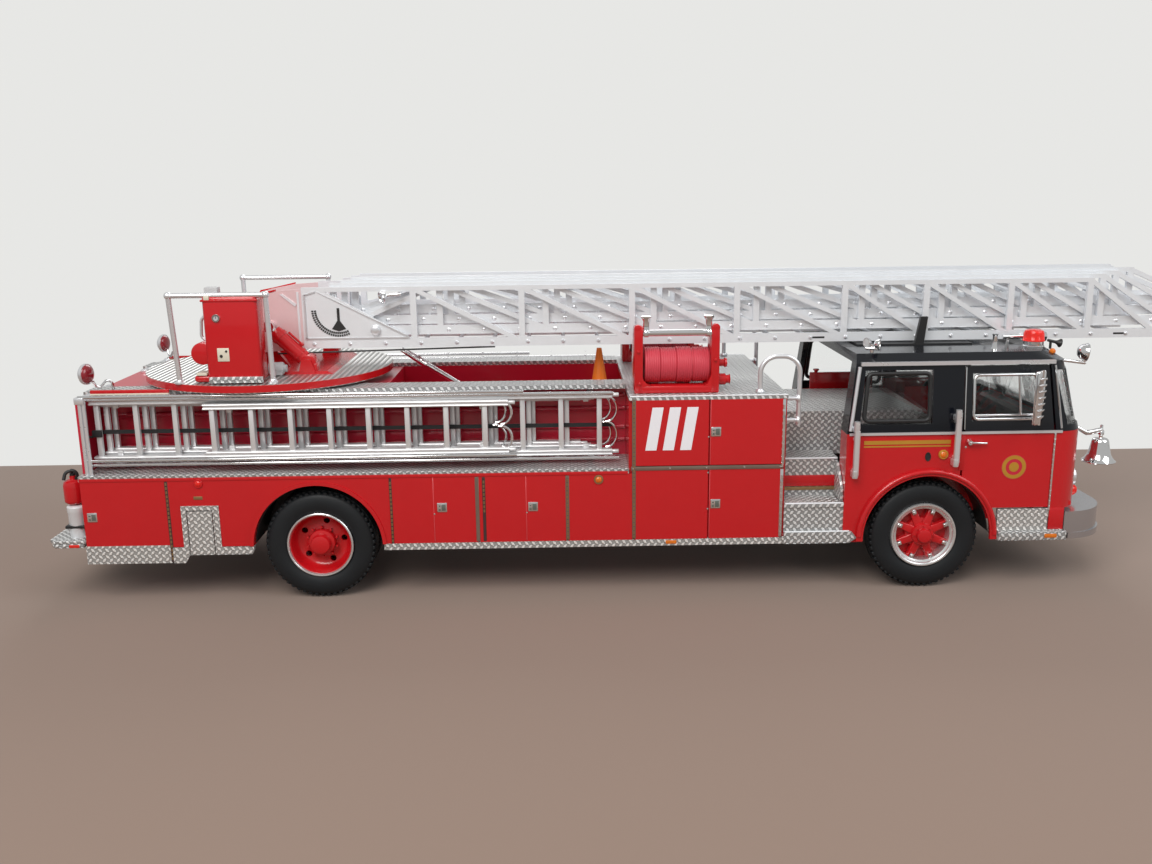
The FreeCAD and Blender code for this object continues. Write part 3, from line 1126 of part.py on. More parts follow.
def trunnion_frame():
    """Red frame that carries the ladder's heel pin and the feet of the hoist cylinders."""
    z0 = TURNTABLE_TOP_Z
    y0, y1 = TRUNNION_Y
    lug = side_prism([(PIVOT_X - 5.0, z0), (PIVOT_X + 7.0, z0), (PIVOT_X + 1.8, PIVOT_Z + 1.6),
                      (PIVOT_X - 1.8, PIVOT_Z + 1.6)], -y1, -y0)
    pin_half = LADDER_HALF_WIDTH + 0.4
    pin = rod((PIVOT_X, -pin_half, PIVOT_Z), (PIVOT_X, pin_half, PIVOT_Z), PIVOT_PIN_RADIUS)
    base = side_prism([(PIVOT_X - 6.5, z0), (HOIST_FOOT_X + 5.2, z0), (HOIST_FOOT_X + 4.0, z0 + 0.6),
                       (PIVOT_X - 6.0, z0 + 0.6)], -HOIST_Y - 2.2, HOIST_Y + 2.2)
    feet = []
    half = HOIST_BARREL_RADIUS - 0.1
    gap = half + RUN_GAP / 2
    fx = HOIST_FOOT_X
    top = HOIST_FOOT_Z + 0.9
    for inner in (HOIST_Y - gap - CLEVIS, HOIST_Y + gap):
        feet.append(side_prism([(fx - 1.6, z0), (fx + 1.8, z0), (fx + 0.9, top), (fx - 0.9, top)],
                               -inner - CLEVIS, -inner))
    pin_ends = (-HOIST_Y - half - 0.6, -HOIST_Y + half + 0.6)
    feet.append(rod((fx, pin_ends[0], HOIST_FOOT_Z), (fx, pin_ends[1], HOIST_FOOT_Z), HOIST_PIN_RADIUS))
    return fuse(both_sides([lug]) + [pin, base] + both_sides(feet))


def control_pedestal():
    """Control console at the right edge, with a rounded valve box at its back and a kick plate."""
    x0, x1, out_in, in_in, height = PEDESTAL
    y0 = -HALF_WIDTH + out_in
    y1 = -HALF_WIDTH + in_in
    z0 = TURNTABLE_TOP_Z
    top = z0 + height
    body = side_prism([(x0 + 0.4, z0), (x1 + 0.4, z0), (x1, top), (x0, top)], y0, y1)
    valve = rod((x0 - 0.6, y0 + 0.6, z0 + 5.6), (x0 - 0.6, y1 - 0.6, z0 + 5.6), 2.0)
    foot = rod((x0 - 0.8, y0 + 1.4, z0 + 1.0), (x0 - 0.8, y1 - 1.0, z0 + 1.0), 0.9)
    fill = block(x0 - 0.6, x0 + 1, y0 + 0.6, y1 - 0.6, z0 + 3.6, z0 + 7.6)
    low_fill = block(x0 - 0.8, x0 + 1, y0 + 1.4, y1 - 1.0, z0 + 0.1, z0 + 1.9)
    return fuse([body, valve, foot, fill, low_fill])


HANDRAILS = [                # rear x, front x, side, height above the deck
    (-25.2, -7.3, -1, 16.6),
    (-24.0, -4.9, 1, 16.3),
]


def turntable_rails():
    """Handrails of tube on posts, one each side."""
    rails = []
    foot = TURNTABLE_TOP_Z + 0.06
    for x0, x1, side, height in HANDRAILS:
        y = side * (HALF_WIDTH - 2.5)
        top = TURNTABLE_TOP_Z + height
        rails.append(bent_tube([(x0 + 1.6, y, foot), (x0, y, top), (x1, y, top), (x1 + 0.6, y, foot)],
                               0.5, 0.9))
    return rails


# ---------------------------------------------------------------- hoist cylinders
def hoist_cylinders():
    """Barrels on the foot pins and rods whose eyes lie beside the ladder's heel plates."""
    foot = Vector(HOIST_FOOT_X, -HOIST_Y, HOIST_FOOT_Z)
    eye = Vector(HOIST_EYE_X, -HOIST_Y, HOIST_EYE_Z)
    way = eye.sub(foot).normalize()
    length = eye.distanceToPoint(foot)
    barrel_end = length - 2.0
    half = HOIST_BARREL_RADIUS - 0.1
    barrel = Part.makeCylinder(HOIST_BARREL_RADIUS, barrel_end - 1.2, foot.add(way * 1.2), way)
    knuckle = rod((foot.x, -HOIST_Y - half, foot.z), (foot.x, -HOIST_Y + half, foot.z), 1.25)
    neck = Part.makeCylinder(0.9, 1.6, foot.add(way * 0.2), way)
    barrel = fuse([barrel, knuckle, neck])
    across = Vector(0, 3, 0)
    barrel = barrel.cut(rod(foot.sub(across), foot.add(across), HOIST_PIN_RADIUS + FIT_GAP))
    barrel = barrel.cut(Part.makeCylinder(HOIST_ROD_RADIUS + FIT_GAP, length, foot.add(way * 1.8), way))
    piston = Part.makeCylinder(HOIST_ROD_RADIUS, length - 2.1, foot.add(way * 2.1), way)
    eye_ring = rod((eye.x, -HOIST_Y - 0.7, eye.z), (eye.x, -HOIST_Y + 0.7, eye.z), 1.1)
    rod_piece = fuse([piston, eye_ring])
    return both_sides([barrel]), both_sides([rod_piece])


# ---------------------------------------------------------------- aerial ladder
BAYS = [21.4, 21.5, 22.0, 21.0, 21.6, 16.4, 17.0, 15.9, 15.7]     # from the tail post to the tip
SECTIONS = [                 # name, steps in, chord z, rail z, tail x, plated, tip beyond the base's
    ("ladder_base", 0, LADDER_CHORD_Z, LADDER_RAIL_Z, LADDER_TAIL_X, 1, 0.0),
    ("ladder_second", 1, LADDER_CHORD_Z + 2.4, LADDER_RAIL_Z + 0.7, LADDER_TAIL_X + 5.5, 0, 2.6),
    ("ladder_third", 2, LADDER_CHORD_Z + 4.4, LADDER_RAIL_Z + 1.2, LADDER_TAIL_X + 7.5, 0, 5.8),
    ("ladder_fly", 3, LADDER_CHORD_Z + 6.4, LADDER_RAIL_Z + 1.7, LADDER_TAIL_X + 9.5, 0, 9.4),
]
GUSSET_TOP = 3.4             # length of the gusset's top edge, where its slope begins
POST_WIDTH = 1.2
DIAGONAL_WIDTH = 0.9
RAIL_HEIGHT_LADDER = 0.9
LADDER_TIP_X = LADDER_TAIL_X + sum(BAYS)


def truss_side(y_outer, chord_z, rail_top, tail, tip, bays, first_reversed):
    """One side of a ladder section: chord, handrail, posts and diagonals."""
    y0 = -y_outer
    y1 = -y_outer + LADDER_BAR
    rail_z = rail_top - RAIL_HEIGHT_LADDER / 2
    chord_mid = chord_z + CHORD_HEIGHT / 2
    parts = [block(tail, tip, y0, y1, chord_z, chord_z + CHORD_HEIGHT)]
    posts = [tail + POST_WIDTH / 2]
    for bay in bays[:-1]:
        posts.append(posts[-1] + bay)
    parts.append(block(tail, posts[-1] + POST_WIDTH / 2, y0, y1, rail_top - RAIL_HEIGHT_LADDER, rail_top))
    for x in posts:
        parts.append(block(x - POST_WIDTH / 2, x + POST_WIDTH / 2, y0, y1, chord_z + 0.1, rail_top - 0.1))
    for i, (x, nxt) in enumerate(zip(posts, posts[1:] + [tip - 1.2])):
        if i == 0 and first_reversed:
            parts.append(bar((x, chord_mid), (nxt, rail_z), DIAGONAL_WIDTH, y0, y1))
        else:
            parts.append(bar((x, rail_z), (nxt, chord_mid), DIAGONAL_WIDTH, y0, y1))
    return fuse(parts)


def ladder_section(steps_in, chord_z, rail_top, tail, tip, plated):
    """A U-shaped ladder section, its sides and rungs; each one fits inside the one below it."""
    y_outer = LADDER_HALF_WIDTH - steps_in * (LADDER_BAR + RUN_GAP)
    stretch = (tip - tail) / sum(BAYS)
    bays = [bay * stretch for bay in BAYS]
    side = truss_side(y_outer, chord_z, rail_top, tail, tip, bays, not plated)
    if plated:
        plate_front = tail + BAYS[0]
        low = chord_z + 0.2
        high = rail_top - 0.2
        gusset = [(tail, low), (plate_front, low), (plate_front, chord_z + CHORD_HEIGHT),
                  (tail + GUSSET_TOP, high), (tail, high)]
        side = side.fuse(side_prism(gusset, -y_outer, -y_outer + LADDER_BAR))
    parts = both_sides([side])
    count = int((tip - tail - 3.0) / RUNG_PITCH)
    half = y_outer - LADDER_BAR
    for i in range(count + 1):
        x = tail + 2.0 + i * RUNG_PITCH
        parts.append(rod((x, -half, chord_z + 0.6), (x, half, chord_z + 0.6), RUNG_RADIUS))
    return parts


HEEL_REAR = 4.5              # heel plate behind the pivot
HEEL_TOP_Z = 57.5


def ladder_heel():
    """Red heel plates that carry the ladder on the pivot pin, with a boss for each hoist rod."""
    y0 = -LADDER_HALF_WIDTH
    y1 = y0 + LADDER_BAR
    tail = LADDER_TAIL_X
    x0 = PIVOT_X - HEEL_REAR + 1.0
    outline = [(PIVOT_X - 1.6, PIVOT_Z - 2.0), (tail, LADDER_CHORD_Z), (tail, LADDER_RAIL_Z - 0.3),
               (tail - 5.0, LADDER_RAIL_Z - 0.6), (x0 + 3.6, HEEL_TOP_Z), (x0 + 1.0, HEEL_TOP_Z - 0.8),
               (x0, HEEL_TOP_Z - 2.8), (x0, PIVOT_Z + 0.2)]
    plate = side_prism(outline, y0, y1)
    boss_end = -HOIST_Y + 0.7 + RUN_GAP
    boss = rod((HOIST_EYE_X, y0 + 0.1, HOIST_EYE_Z), (HOIST_EYE_X, boss_end, HOIST_EYE_Z), 0.9)
    plate = plate.fuse(boss)
    plate = plate.cut(rod((PIVOT_X, y0 - 1, PIVOT_Z), (PIVOT_X, y1 + 1, PIVOT_Z), PIVOT_PIN_RADIUS + FIT_GAP))
    tie = rod((x0 + 6.0, y0 + 0.2, HEEL_TOP_Z - 2.0), (x0 + 6.0, -y0 - 0.2, HEEL_TOP_Z - 2.0), 0.7)
    return fuse(both_sides([plate]) + [tie])


# ---------------------------------------------------------------- build
add("chassis_frame", chassis_frame())
add("base_bosses", base_bosses())
add("rear_axle", rear_axle())
add("front_axle", front_axle())
add("drive_shaft", engine_and_shaft())
rims = {"front": front_rim(), "rear": rear_rim()}
tyres = {"front": [tyre(TRACK_FACE, WHEELBASE)],
         "rear": [tyre(TRACK_FACE, 0), tyre(TRACK_FACE - TYRE_WIDTH - TWIN_GAP, 0)]}
for axle in ("front", "rear"):
    add("rim_%s_right" % axle, rims[axle])
    add("rim_%s_left" % axle, mirrored(rims[axle]))
    add("tyre_%s_right" % axle, tyres[axle])
    add("tyre_%s_left" % axle, [mirrored(t) for t in tyres[axle]])

add("body_doors", body_doors())
add("body_shell", body_shell())
add("body_decks", body_decks())
add("rack_walls", rack_walls())
add("tread_skirts", tread_skirts())
add("side_steps", side_steps())
add("engine_cover", engine_cover())
cab_shells()
add("cab_roof", cab_roof())
add("cab_trim", cab_trim())
add("cab_seats", cab_seats())
add("dashboard", dashboard())
add("front_bumper", front_bumper())
add("front_grille", [front_grille()] + headlamps())
add("bell", bell())
add("beacon", beacon())
add("roof_horns", roof_horns())
add("ladder_cradle", ladder_cradle())
add("roof_lamps", roof_lamps())
add("mirrors", mirrors())
add("grab_rails", grab_rails())
add("reel_frames", reel_frames())
add("reel_rollers", reel_rollers())
add("hose_reels", hose_reels())
add("ground_ladders", ground_ladders())
add("rack_posts", rack_posts())
add("traffic_cones", traffic_cones())
add("playpipe", playpipe())
add("rear_step", rear_step())
add("extinguishers", extinguishers())
add("rear_lamps", rear_lamps())
add("rear_warning_lamps", rear_warning_lamps())
add("turntable_deck", turntable_deck())
add("trunnion_frame", trunnion_frame())
add("control_pedestal", control_pedestal())
add("turntable_rails", turntable_rails())
barrels, rods = hoist_cylinders()
add("hoist_barrels", barrels)
add("hoist_rods", rods)
for name, steps_in, chord_z, rail_z, tail, plated, past_tip in SECTIONS:
    add(name, ladder_section(steps_in, chord_z, rail_z, tail, LADDER_TIP_X + past_tip, plated))
add("ladder_heel", ladder_heel())

whole = Part.makeCompound([shape for shapes in nodes.values() for shape in shapes])
box = whole.BoundBox
shift = Vector(-(box.XMin + box.XMax) / 2, -(box.YMin + box.YMax) / 2, 0)
print("box", round(box.XMin, 2), round(box.XMax, 2), round(box.YMin, 2), round(box.YMax, 2),
      round(box.ZMin, 2), round(box.ZMax, 2), "shift", round(shift.x, 3), round(shift.y, 3))
for name, shapes in nodes.items():
    piece = Part.makeCompound(shapes) if len(shapes) > 1 else shapes[0]
    piece = piece.copy()
    piece.translate(shift)
    piece.exportStep("parts/%s.step" % name)
print(len(nodes), "nodes")
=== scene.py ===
# %% [markdown]
# # A model fire engine with an aerial ladder
# The part comes from CAD as plain solids: chassis, body, cab, turntable and a four-section ladder. This
# lesson dresses it: paint, treadplate, chrome, tyres with tread, lamps, latches, rivets and straps.
# Everything is counted in millimetres from the rear axle on the ground, +X forward, +Y to the left, and one
# helper turns that into the frame's metres. So a number here can be held against a ruler on the model.

# %% Load the frame
import math

import bpy
from mathutils import Matrix, Vector


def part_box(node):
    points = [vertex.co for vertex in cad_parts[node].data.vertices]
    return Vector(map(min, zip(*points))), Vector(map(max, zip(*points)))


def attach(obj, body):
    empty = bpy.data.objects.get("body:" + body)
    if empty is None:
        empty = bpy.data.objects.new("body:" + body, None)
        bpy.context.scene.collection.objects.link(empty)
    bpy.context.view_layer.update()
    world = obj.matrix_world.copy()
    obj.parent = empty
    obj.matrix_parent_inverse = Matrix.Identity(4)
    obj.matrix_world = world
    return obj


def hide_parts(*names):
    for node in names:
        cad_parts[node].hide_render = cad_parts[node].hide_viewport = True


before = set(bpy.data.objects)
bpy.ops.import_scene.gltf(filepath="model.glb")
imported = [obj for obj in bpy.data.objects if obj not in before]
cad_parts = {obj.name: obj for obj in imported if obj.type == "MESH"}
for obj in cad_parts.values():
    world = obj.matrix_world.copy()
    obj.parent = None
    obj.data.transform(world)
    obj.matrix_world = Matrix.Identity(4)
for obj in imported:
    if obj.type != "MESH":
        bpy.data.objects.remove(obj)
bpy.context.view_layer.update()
MM = 0.001
rear_lo, rear_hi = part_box("tyre_rear_right")
front_lo, front_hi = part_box("tyre_front_right")
AXLE = (rear_lo.x + rear_hi.x) / 2 / MM                    # frame x of the rear axle, in mm
WHEELBASE = (front_lo.x + front_hi.x) / 2 / MM - AXLE
TYRE_R = (front_hi.z - front_lo.z) / 2 / MM
OUT = -24.5                                                # y of the body's right side
BELT = 31.4                                                # height of the chrome strip round the cab
UP, AHEAD, AFT, INWARD = (0, 0, 1), (1, 0, 0), (-1, 0, 0), (0, 1, 0)
bpy.ops.object.select_all(action="DESELECT")
print("wheelbase %.1f mm, tyre radius %.1f mm" % (WHEELBASE, TYRE_R))


def at(x, y, z):
    """A point in mm from the rear axle as a place in the frame."""
    return Vector(((x + AXLE) * MM, y * MM, z * MM))


# %% [markdown]
# ## Camera and light
# The engine is seen from its right side, a little from above, through a moderately long lens. The camera
# comes first, because how fine a piece has to be depends on how near it is seen. The light is that of a
# pale room: one large soft lamp near the camera's left shoulder, a weaker one opposite, and a bright world.

# %% Camera
CAMERA_PLACE = (46.8, -219.9, 77.8)
YAW, PITCH, ROLL = 0.0153, 0.2267, -0.0116
bpy.ops.object.camera_add(location=at(*CAMERA_PLACE))
camera = bpy.context.object
camera.name = "camera"
ahead = Vector((math.sin(YAW) * math.cos(PITCH), math.cos(YAW) * math.cos(PITCH), -math.sin(PITCH)))
level = Vector((math.cos(YAW), -math.sin(YAW), 0))
above = level.cross(ahead)
right = level * math.cos(ROLL) + above * math.sin(ROLL)
upright = above * math.cos(ROLL) - level * math.sin(ROLL)
turn = Matrix((right, upright, -ahead)).transposed().to_4x4()
camera.matrix_world = Matrix.Translation(at(*CAMERA_PLACE)) @ turn
camera.data.sensor_width = 36
camera.data.lens = 33.21
camera.data.clip_start = 0.01
bpy.context.scene.camera = camera
bpy.context.scene.view_settings.view_transform = "Standard"

# %% Lamps
LAMPS = [                   # name, place, what it is aimed at, size, watts, tint
    ("window_light", (-60, -300, 330), (60, 0, 20), 260, 1.5, (1.0, 0.985, 0.96)),
    ("room_light", (330, -160, 240), (80, 0, 25), 220, 0.5, (0.95, 0.98, 1.0)),
    ("back_light", (60, 330, 300), (60, 0, 30), 260, 0.7, (1, 1, 1)),
]
for name, place, target, size, watts, tint in LAMPS:
    bpy.ops.object.light_add(type="AREA", location=at(*place))
    light = bpy.context.object
    light.name = name
    light.data.size = size * MM
    light.data.energy = watts
    light.data.color = tint
    light.rotation_euler = (at(*target) - at(*place)).to_track_quat("-Z", "Y").to_euler()

# %% [markdown]
# ## A helper for shader nodes
# World, finishes and effects are all graphs of nodes. `Recipe` adds a node, sets its properties and feeds
# its inputs in one call, so that a graph reads like a sum.


# %% Recipe
class Recipe:
    """Adds nodes to a tree; an input takes a number, a colour or another node's output."""

    def __init__(self, tree):
        self.tree = tree

    def feed(self, value, socket):
        if hasattr(value, "is_output"):
            self.tree.links.new(value, socket)
        else:
            socket.default_value = value

    def node(self, kind, inputs, **settings):
        """The outputs of a new node; inputs are {socket: value}, settings its properties."""
        made = self.tree.nodes.new("ShaderNode" + kind)
        for key, value in settings.items():
            setattr(made, key, value)
        for key, value in inputs.items():
            self.feed(value, made.inputs[key])
        return made.outputs

    def math(self, operation, *values):
        return self.node("Math", dict(enumerate(values)), operation=operation)[0]

    def plus(self, a, b):
        return self.math("ADD", a, b)

    def minus(self, a, b):
        return self.math("SUBTRACT", a, b)

    def times(self, a, b):
        return self.math("MULTIPLY", a, b)

    def place(self):
        return self.node("TexCoord", {})["Object"]

    def parts(self, vector):
        return self.node("SeparateXYZ", {0: vector})

    def noise(self, scale, detail=2.0):
        return self.node("TexNoise", {"Vector": self.place(), "Scale": scale, "Detail": detail})[0]


def material_named(name, colour, solid=1.0):
    """A new material, its recipe and the inputs of its Principled shader."""
    material = bpy.data.materials.new(name)
    material.use_nodes = True
    material.diffuse_color = (*colour, solid)
    inputs = material.node_tree.nodes["Principled BSDF"].inputs
    inputs["Base Color"].default_value = (*colour, 1)
    return material, Recipe(material.node_tree), inputs


# %% [markdown]
# ## Floor and backdrop
# A brown felt-covered top catches the shadow and ends a little behind the engine. The world is the pale wall
# beyond: the camera, mirrors and glass see it bright, while the light that it throws on the engine is modest.

# %% World
ROOM_LIGHT, SEEN_LIGHT = 0.42, 0.86    # strength of the world as a light, and as it is seen
MIRRORED = 0.25                        # a mirror image of it lies this far between the two
world = bpy.context.scene.world or bpy.data.worlds.new("room")
bpy.context.scene.world = world
world.use_nodes = True
world.node_tree.nodes.clear()
r = Recipe(world.node_tree)
ray = r.node("LightPath", {})
seen = r.math("MAXIMUM", ray["Is Camera Ray"], ray["Is Transmission Ray"])
seen = r.math("MAXIMUM", seen, r.times(ray["Is Glossy Ray"], MIRRORED))
strength = r.node("MapRange", {"Value": seen, "To Min": ROOM_LIGHT, "To Max": SEEN_LIGHT})[0]
sky = r.node("Background", {"Color": (0.93, 0.93, 0.91, 1), "Strength": strength})[0]
r.node("OutputWorld", {"Surface": sky})

# %% Floor
FLOOR_WIDTH, FLOOR_DEPTH, FLOOR_THICK = 1.6, 1.2, 0.02     # in metres
FLOOR_BACK = 0.085                                         # where it ends behind the engine
FLOOR_TOP = -0.0002                                        # a hair below the tyres
middle = (0, FLOOR_BACK - FLOOR_DEPTH / 2, FLOOR_TOP - FLOOR_THICK / 2)
bpy.ops.mesh.primitive_cube_add(size=1, location=middle)
floor = bpy.context.object
floor.name = "floor"
floor.scale = (FLOOR_WIDTH, FLOOR_DEPTH, FLOOR_THICK)
bpy.ops.object.transform_apply(location=True, rotation=True, scale=True)
felt, _, felt_inputs = material_named("brown_felt", (0.235, 0.165, 0.130))
felt_inputs["Roughness"].default_value = 0.9
felt_inputs["Sheen Weight"].default_value = 0.3
felt_inputs["Specular IOR Level"].default_value = 0.15
floor.data.materials.append(felt)

# %% [markdown]
# ## Effects that several finishes share
# A shader node group is a small machine with named inputs and outputs. Three serve here: *wear* mottles a
# surface with two sizes of noise, *treadplate* raises the lozenges of checker plate, and *ribs* raises
# straight lines. Each is built once and set into many materials.


# %% Groups
def group(name, inputs, output):
    """An empty shader group with number inputs {name: default} and one number output."""
    tree = bpy.data.node_groups.new(name, "ShaderNodeTree")
    for label, default in inputs.items():
        socket = tree.interface.new_socket(label, in_out="INPUT", socket_type="NodeSocketFloat")
        socket.default_value = default
    tree.interface.new_socket(output, in_out="OUTPUT", socket_type="NodeSocketFloat")
    given = tree.nodes.new("NodeGroupInput").outputs
    result = tree.nodes.new("NodeGroupOutput").inputs[output]
    return tree, Recipe(tree), given, result


# %% Wear: two sizes of noise
wear, r, given, result = group("wear", {"Size": 300.0, "Amount": 0.1}, "Factor")
large = r.noise(given["Size"], 4.0)
fine = r.noise(r.times(given["Size"], 9.0))
mixed = r.plus(r.times(large, 0.7), r.times(fine, 0.3))
r.feed(r.times(r.minus(mixed, 0.5), given["Amount"]), result)

# %% Treadplate: raised lozenges, turned by a quarter in every other cell
# The pattern lies in whichever plane the surface faces, which its true normal tells.
LONG, WIDE, STEEP = 0.82, 0.36, 3.0    # a lozenge's size in cells, and the slope of its edge
treadplate, r, given, result = group("treadplate", {"Pitch": 0.78}, "Height")
x, y, z = (r.times(part, 1000.0) for part in r.parts(r.place()))
facing = r.parts(r.node("NewGeometry", {})["True Normal"])
lying = r.math("GREATER_THAN", r.math("ABSOLUTE", facing[2]), 0.6)
endways = r.math("GREATER_THAN", r.math("ABSOLUTE", facing[0]), 0.7)
u = r.plus(r.times(x, r.minus(1.0, endways)), r.times(y, endways))
v = r.plus(r.times(y, lying), r.times(z, r.minus(1.0, lying)))
cell = r.times(given["Pitch"], math.sqrt(2))
p = r.math("DIVIDE", r.plus(u, v), cell)
q = r.math("DIVIDE", r.minus(u, v), cell)
odd = r.math("FLOORED_MODULO", r.plus(r.math("FLOOR", p), r.math("FLOOR", q)), 2.0)
even = r.minus(1.0, odd)
p_in, q_in = (r.math("ABSOLUTE", r.minus(r.math("FRACT", value), 0.5)) for value in (p, q))
along = r.plus(r.times(p_in, odd), r.times(q_in, even))
across = r.plus(r.times(q_in, odd), r.times(p_in, even))
outside = r.plus(r.math("DIVIDE", along, LONG), r.math("DIVIDE", across, WIDE))
height = r.times(r.minus(1.0, outside), STEEP)
r.feed(r.math("MINIMUM", r.math("MAXIMUM", height, 0.0), 1.0), result)

# %% Ribs: straight round ridges across the turntable's deck
ribs, r, given, result = group("ribs", {"Pitch": 1.0}, "Height")
line = r.math("DIVIDE", r.times(r.parts(r.place())[0], 1000.0), given["Pitch"])
wave = r.math("SINE", r.times(line, 2 * math.pi))
r.feed(r.times(r.plus(wave, 1.0), 0.5), result)

# %% [markdown]
# ## Finishes
# `finish` makes one Principled material from plain words: colour, roughness, metal, and which of the
# effects it carries. Colour, roughness and bump all vary a little over the surface, because even a new
# model has orange peel in its lacquer and grain in its plated parts.


# %% The finish helper
def finish(name, colour, rough, metal=0.0, coat=0.0, mottle=0.1, size=250.0, grain=0.004, gloss=0.5,
           relief=None, pitch=1.0, depth=0.1, shade=0.0, above=None):
    """A material; relief is a group, depth its bump in mm, above is (height, colour from there up)."""
    material, r, shader = material_named(name, colour)
    worn = r.node("Group", {"Size": size, "Amount": mottle}, node_tree=wear)[0]
    paint = r.node("HueSaturation", {"Color": (*colour, 1), "Value": r.plus(1.0, worn)})[0]
    normal = r.node("Bump", {"Distance": grain * MM, "Height": r.noise(2500.0)})[0]
    if relief:
        height = r.node("Group", {"Pitch": pitch}, node_tree=relief)[0]
        normal = r.node("Bump", {"Distance": depth * MM, "Height": height, "Normal": normal})[0]
        # Where the relief is low, the colour is darker by shade: painted shade in its hollows.
        hollow_shade = (*(part * (1 - shade) for part in colour), 1)
        paint = r.node("Mix", {"Factor": height, "A": hollow_shade, "B": paint}, data_type="RGBA")["Result"]
    if above:
        high = r.math("GREATER_THAN", r.parts(r.place())[2], above[0] * MM)
        paint = r.node("Mix", {"Factor": high, "A": paint, "B": (*above[1], 1)}, data_type="RGBA")["Result"]
    roughness = r.plus(rough, r.times(worn, 0.6))
    for label, value in (("Base Color", paint), ("Normal", normal), ("Roughness", roughness),
                         ("Metallic", metal), ("Specular IOR Level", gloss), ("Coat Weight", coat),
                         ("Coat Roughness", 0.06)):
        r.feed(value, shader[label])
    return material


# %% Paints, metals and plastics
RED, BLACK = (0.50, 0.007, 0.011), (0.003, 0.004, 0.007)
red_paint = finish("red_lacquer", RED, 0.24, coat=0.45, gloss=0.35)
two_tone = finish("red_and_black_lacquer", RED, 0.23, coat=0.45, gloss=0.35, above=(BELT, BLACK))
# The same red lacquer, tinted towards violet as it looks in shade: a painted shade tint on the rack walls,
# their ribs and the roundel's shade disc.
shade_tinted_red = finish("shade_tinted_red_lacquer", (0.52, 0.009, 0.034), 0.3, coat=0.4, mottle=0.14)
black_paint = finish("black_lacquer", BLACK, 0.2, coat=0.35, mottle=0.2, gloss=0.25)
# A lighter red than the lacquer: painted highlight along the raised door folds.
fold_highlight = finish("fold_highlight_red", (0.62, 0.05, 0.06), 0.15, coat=1.0)
chassis_black = finish("chassis_black", (0.014, 0.014, 0.015), 0.5, mottle=0.3)
# The treadplates and the ribbed deck carry painted shade in the hollows of their relief, as much as shade
# says.
plate_bright = finish("bright_treadplate", (0.84, 0.85, 0.85), 0.3, metal=0.4, mottle=0.12,
                      relief=treadplate, pitch=0.98, depth=0.18, shade=0.62)
plate_coarse = finish("coarse_treadplate", (0.90, 0.89, 0.87), 0.3, metal=0.35, mottle=0.12,
                      relief=treadplate, pitch=0.95, depth=0.22, shade=0.58)
deck_ribbed = finish("ribbed_deck_plate", (0.82, 0.82, 0.80), 0.32, metal=0.85,
                     relief=ribs, pitch=1.15, depth=0.3, shade=0.5)
tube_silver = finish("silver_tube", (0.80, 0.81, 0.84), 0.28, metal=0.75, mottle=0.08)
ladder_silver = finish("ladder_aluminium", (0.80, 0.82, 0.85), 0.34, metal=0.35, mottle=0.12, grain=0.01)
rack_silver = finish("ground_ladder_aluminium", (0.72, 0.72, 0.73), 0.36, metal=0.5, mottle=0.16, grain=0.01)
rosy_silver = finish("rosy_aluminium", (0.76, 0.56, 0.57), 0.4, metal=0.35, mottle=0.12)
chrome = finish("chrome_plate", (0.80, 0.80, 0.81), 0.09, metal=1.0, mottle=0.05, grain=0.0015)
dull_chrome = finish("dull_chrome", (0.5, 0.5, 0.52), 0.2, metal=0.9, mottle=0.12)
brushed = finish("brushed_steel", (0.74, 0.74, 0.75), 0.26, metal=0.8, mottle=0.2, size=120.0)
strip_grey = finish("hinge_strip", (0.20, 0.145, 0.115), 0.42, metal=0.45, mottle=0.4)
strip_dark = finish("hinge_shadow", (0.045, 0.02, 0.02), 0.5, mottle=0.4)
latch_face = finish("latch_face", (0.16, 0.18, 0.16), 0.35, metal=0.5, mottle=0.3)
brass = finish("dull_brass", (0.33, 0.21, 0.10), 0.4, metal=0.7, mottle=0.3)
gold_leaf = finish("gold_leaf", (0.62, 0.33, 0.045), 0.35, metal=0.55, mottle=0.25)
rubber = finish("tyre_rubber", (0.010, 0.012, 0.014), 0.5, mottle=0.35, grain=0.02, gloss=0.3)
black_plastic = finish("black_plastic", (0.012, 0.012, 0.013), 0.42, mottle=0.25, grain=0.01)
scale_black = finish("scale_black", (0.015, 0.014, 0.014), 0.5, mottle=0.2)
seat_plastic = finish("moulded_seat", (0.055, 0.045, 0.042), 0.6, mottle=0.3, grain=0.03)
strap_black = finish("strap_webbing", (0.01, 0.01, 0.011), 0.8, mottle=0.3, grain=0.03)
hose_red = finish("pink_red_hose", (0.56, 0.05, 0.075), 0.5, mottle=0.2, grain=0.02)
cone_orange = finish("cone_orange", (0.87, 0.22, 0.015), 0.45, mottle=0.12)
white_paint = finish("white_decal", (0.80, 0.79, 0.83), 0.4, mottle=0.05)
cream_paint = finish("cream_paint", (0.66, 0.61, 0.50), 0.45, mottle=0.15)
grey_paint = finish("pale_grey_paint", (0.46, 0.46, 0.47), 0.5, mottle=0.12)
dark_lens = finish("dark_red_lens", (0.23, 0.008, 0.016), 0.12, coat=0.5, mottle=0.5, size=700.0)

# %% [markdown]
# Glass and lamp lenses let light through. Their colour, roughness and transmission sit on the shader's own
# sockets. A lens is thick coloured plastic, and it also gets a faint painted glow of its own colour, which
# stands in for light that enters it from all round and leaves it again.


# %% Glass and lenses
def clear(name, colour, rough, through=1.0, glow=0.0, alpha=1.0):
    material, r, shader = material_named(name, colour, 0.4)
    streaks = r.plus(rough, r.times(r.noise(60.0), 0.03))
    for label, value in (("Transmission Weight", through), ("IOR", 1.45), ("Alpha", alpha),
                         ("Roughness", streaks)):
        r.feed(value, shader[label])
    if glow:
        shader["Emission Color"].default_value = (*colour, 1)
        shader["Emission Strength"].default_value = glow
    return material


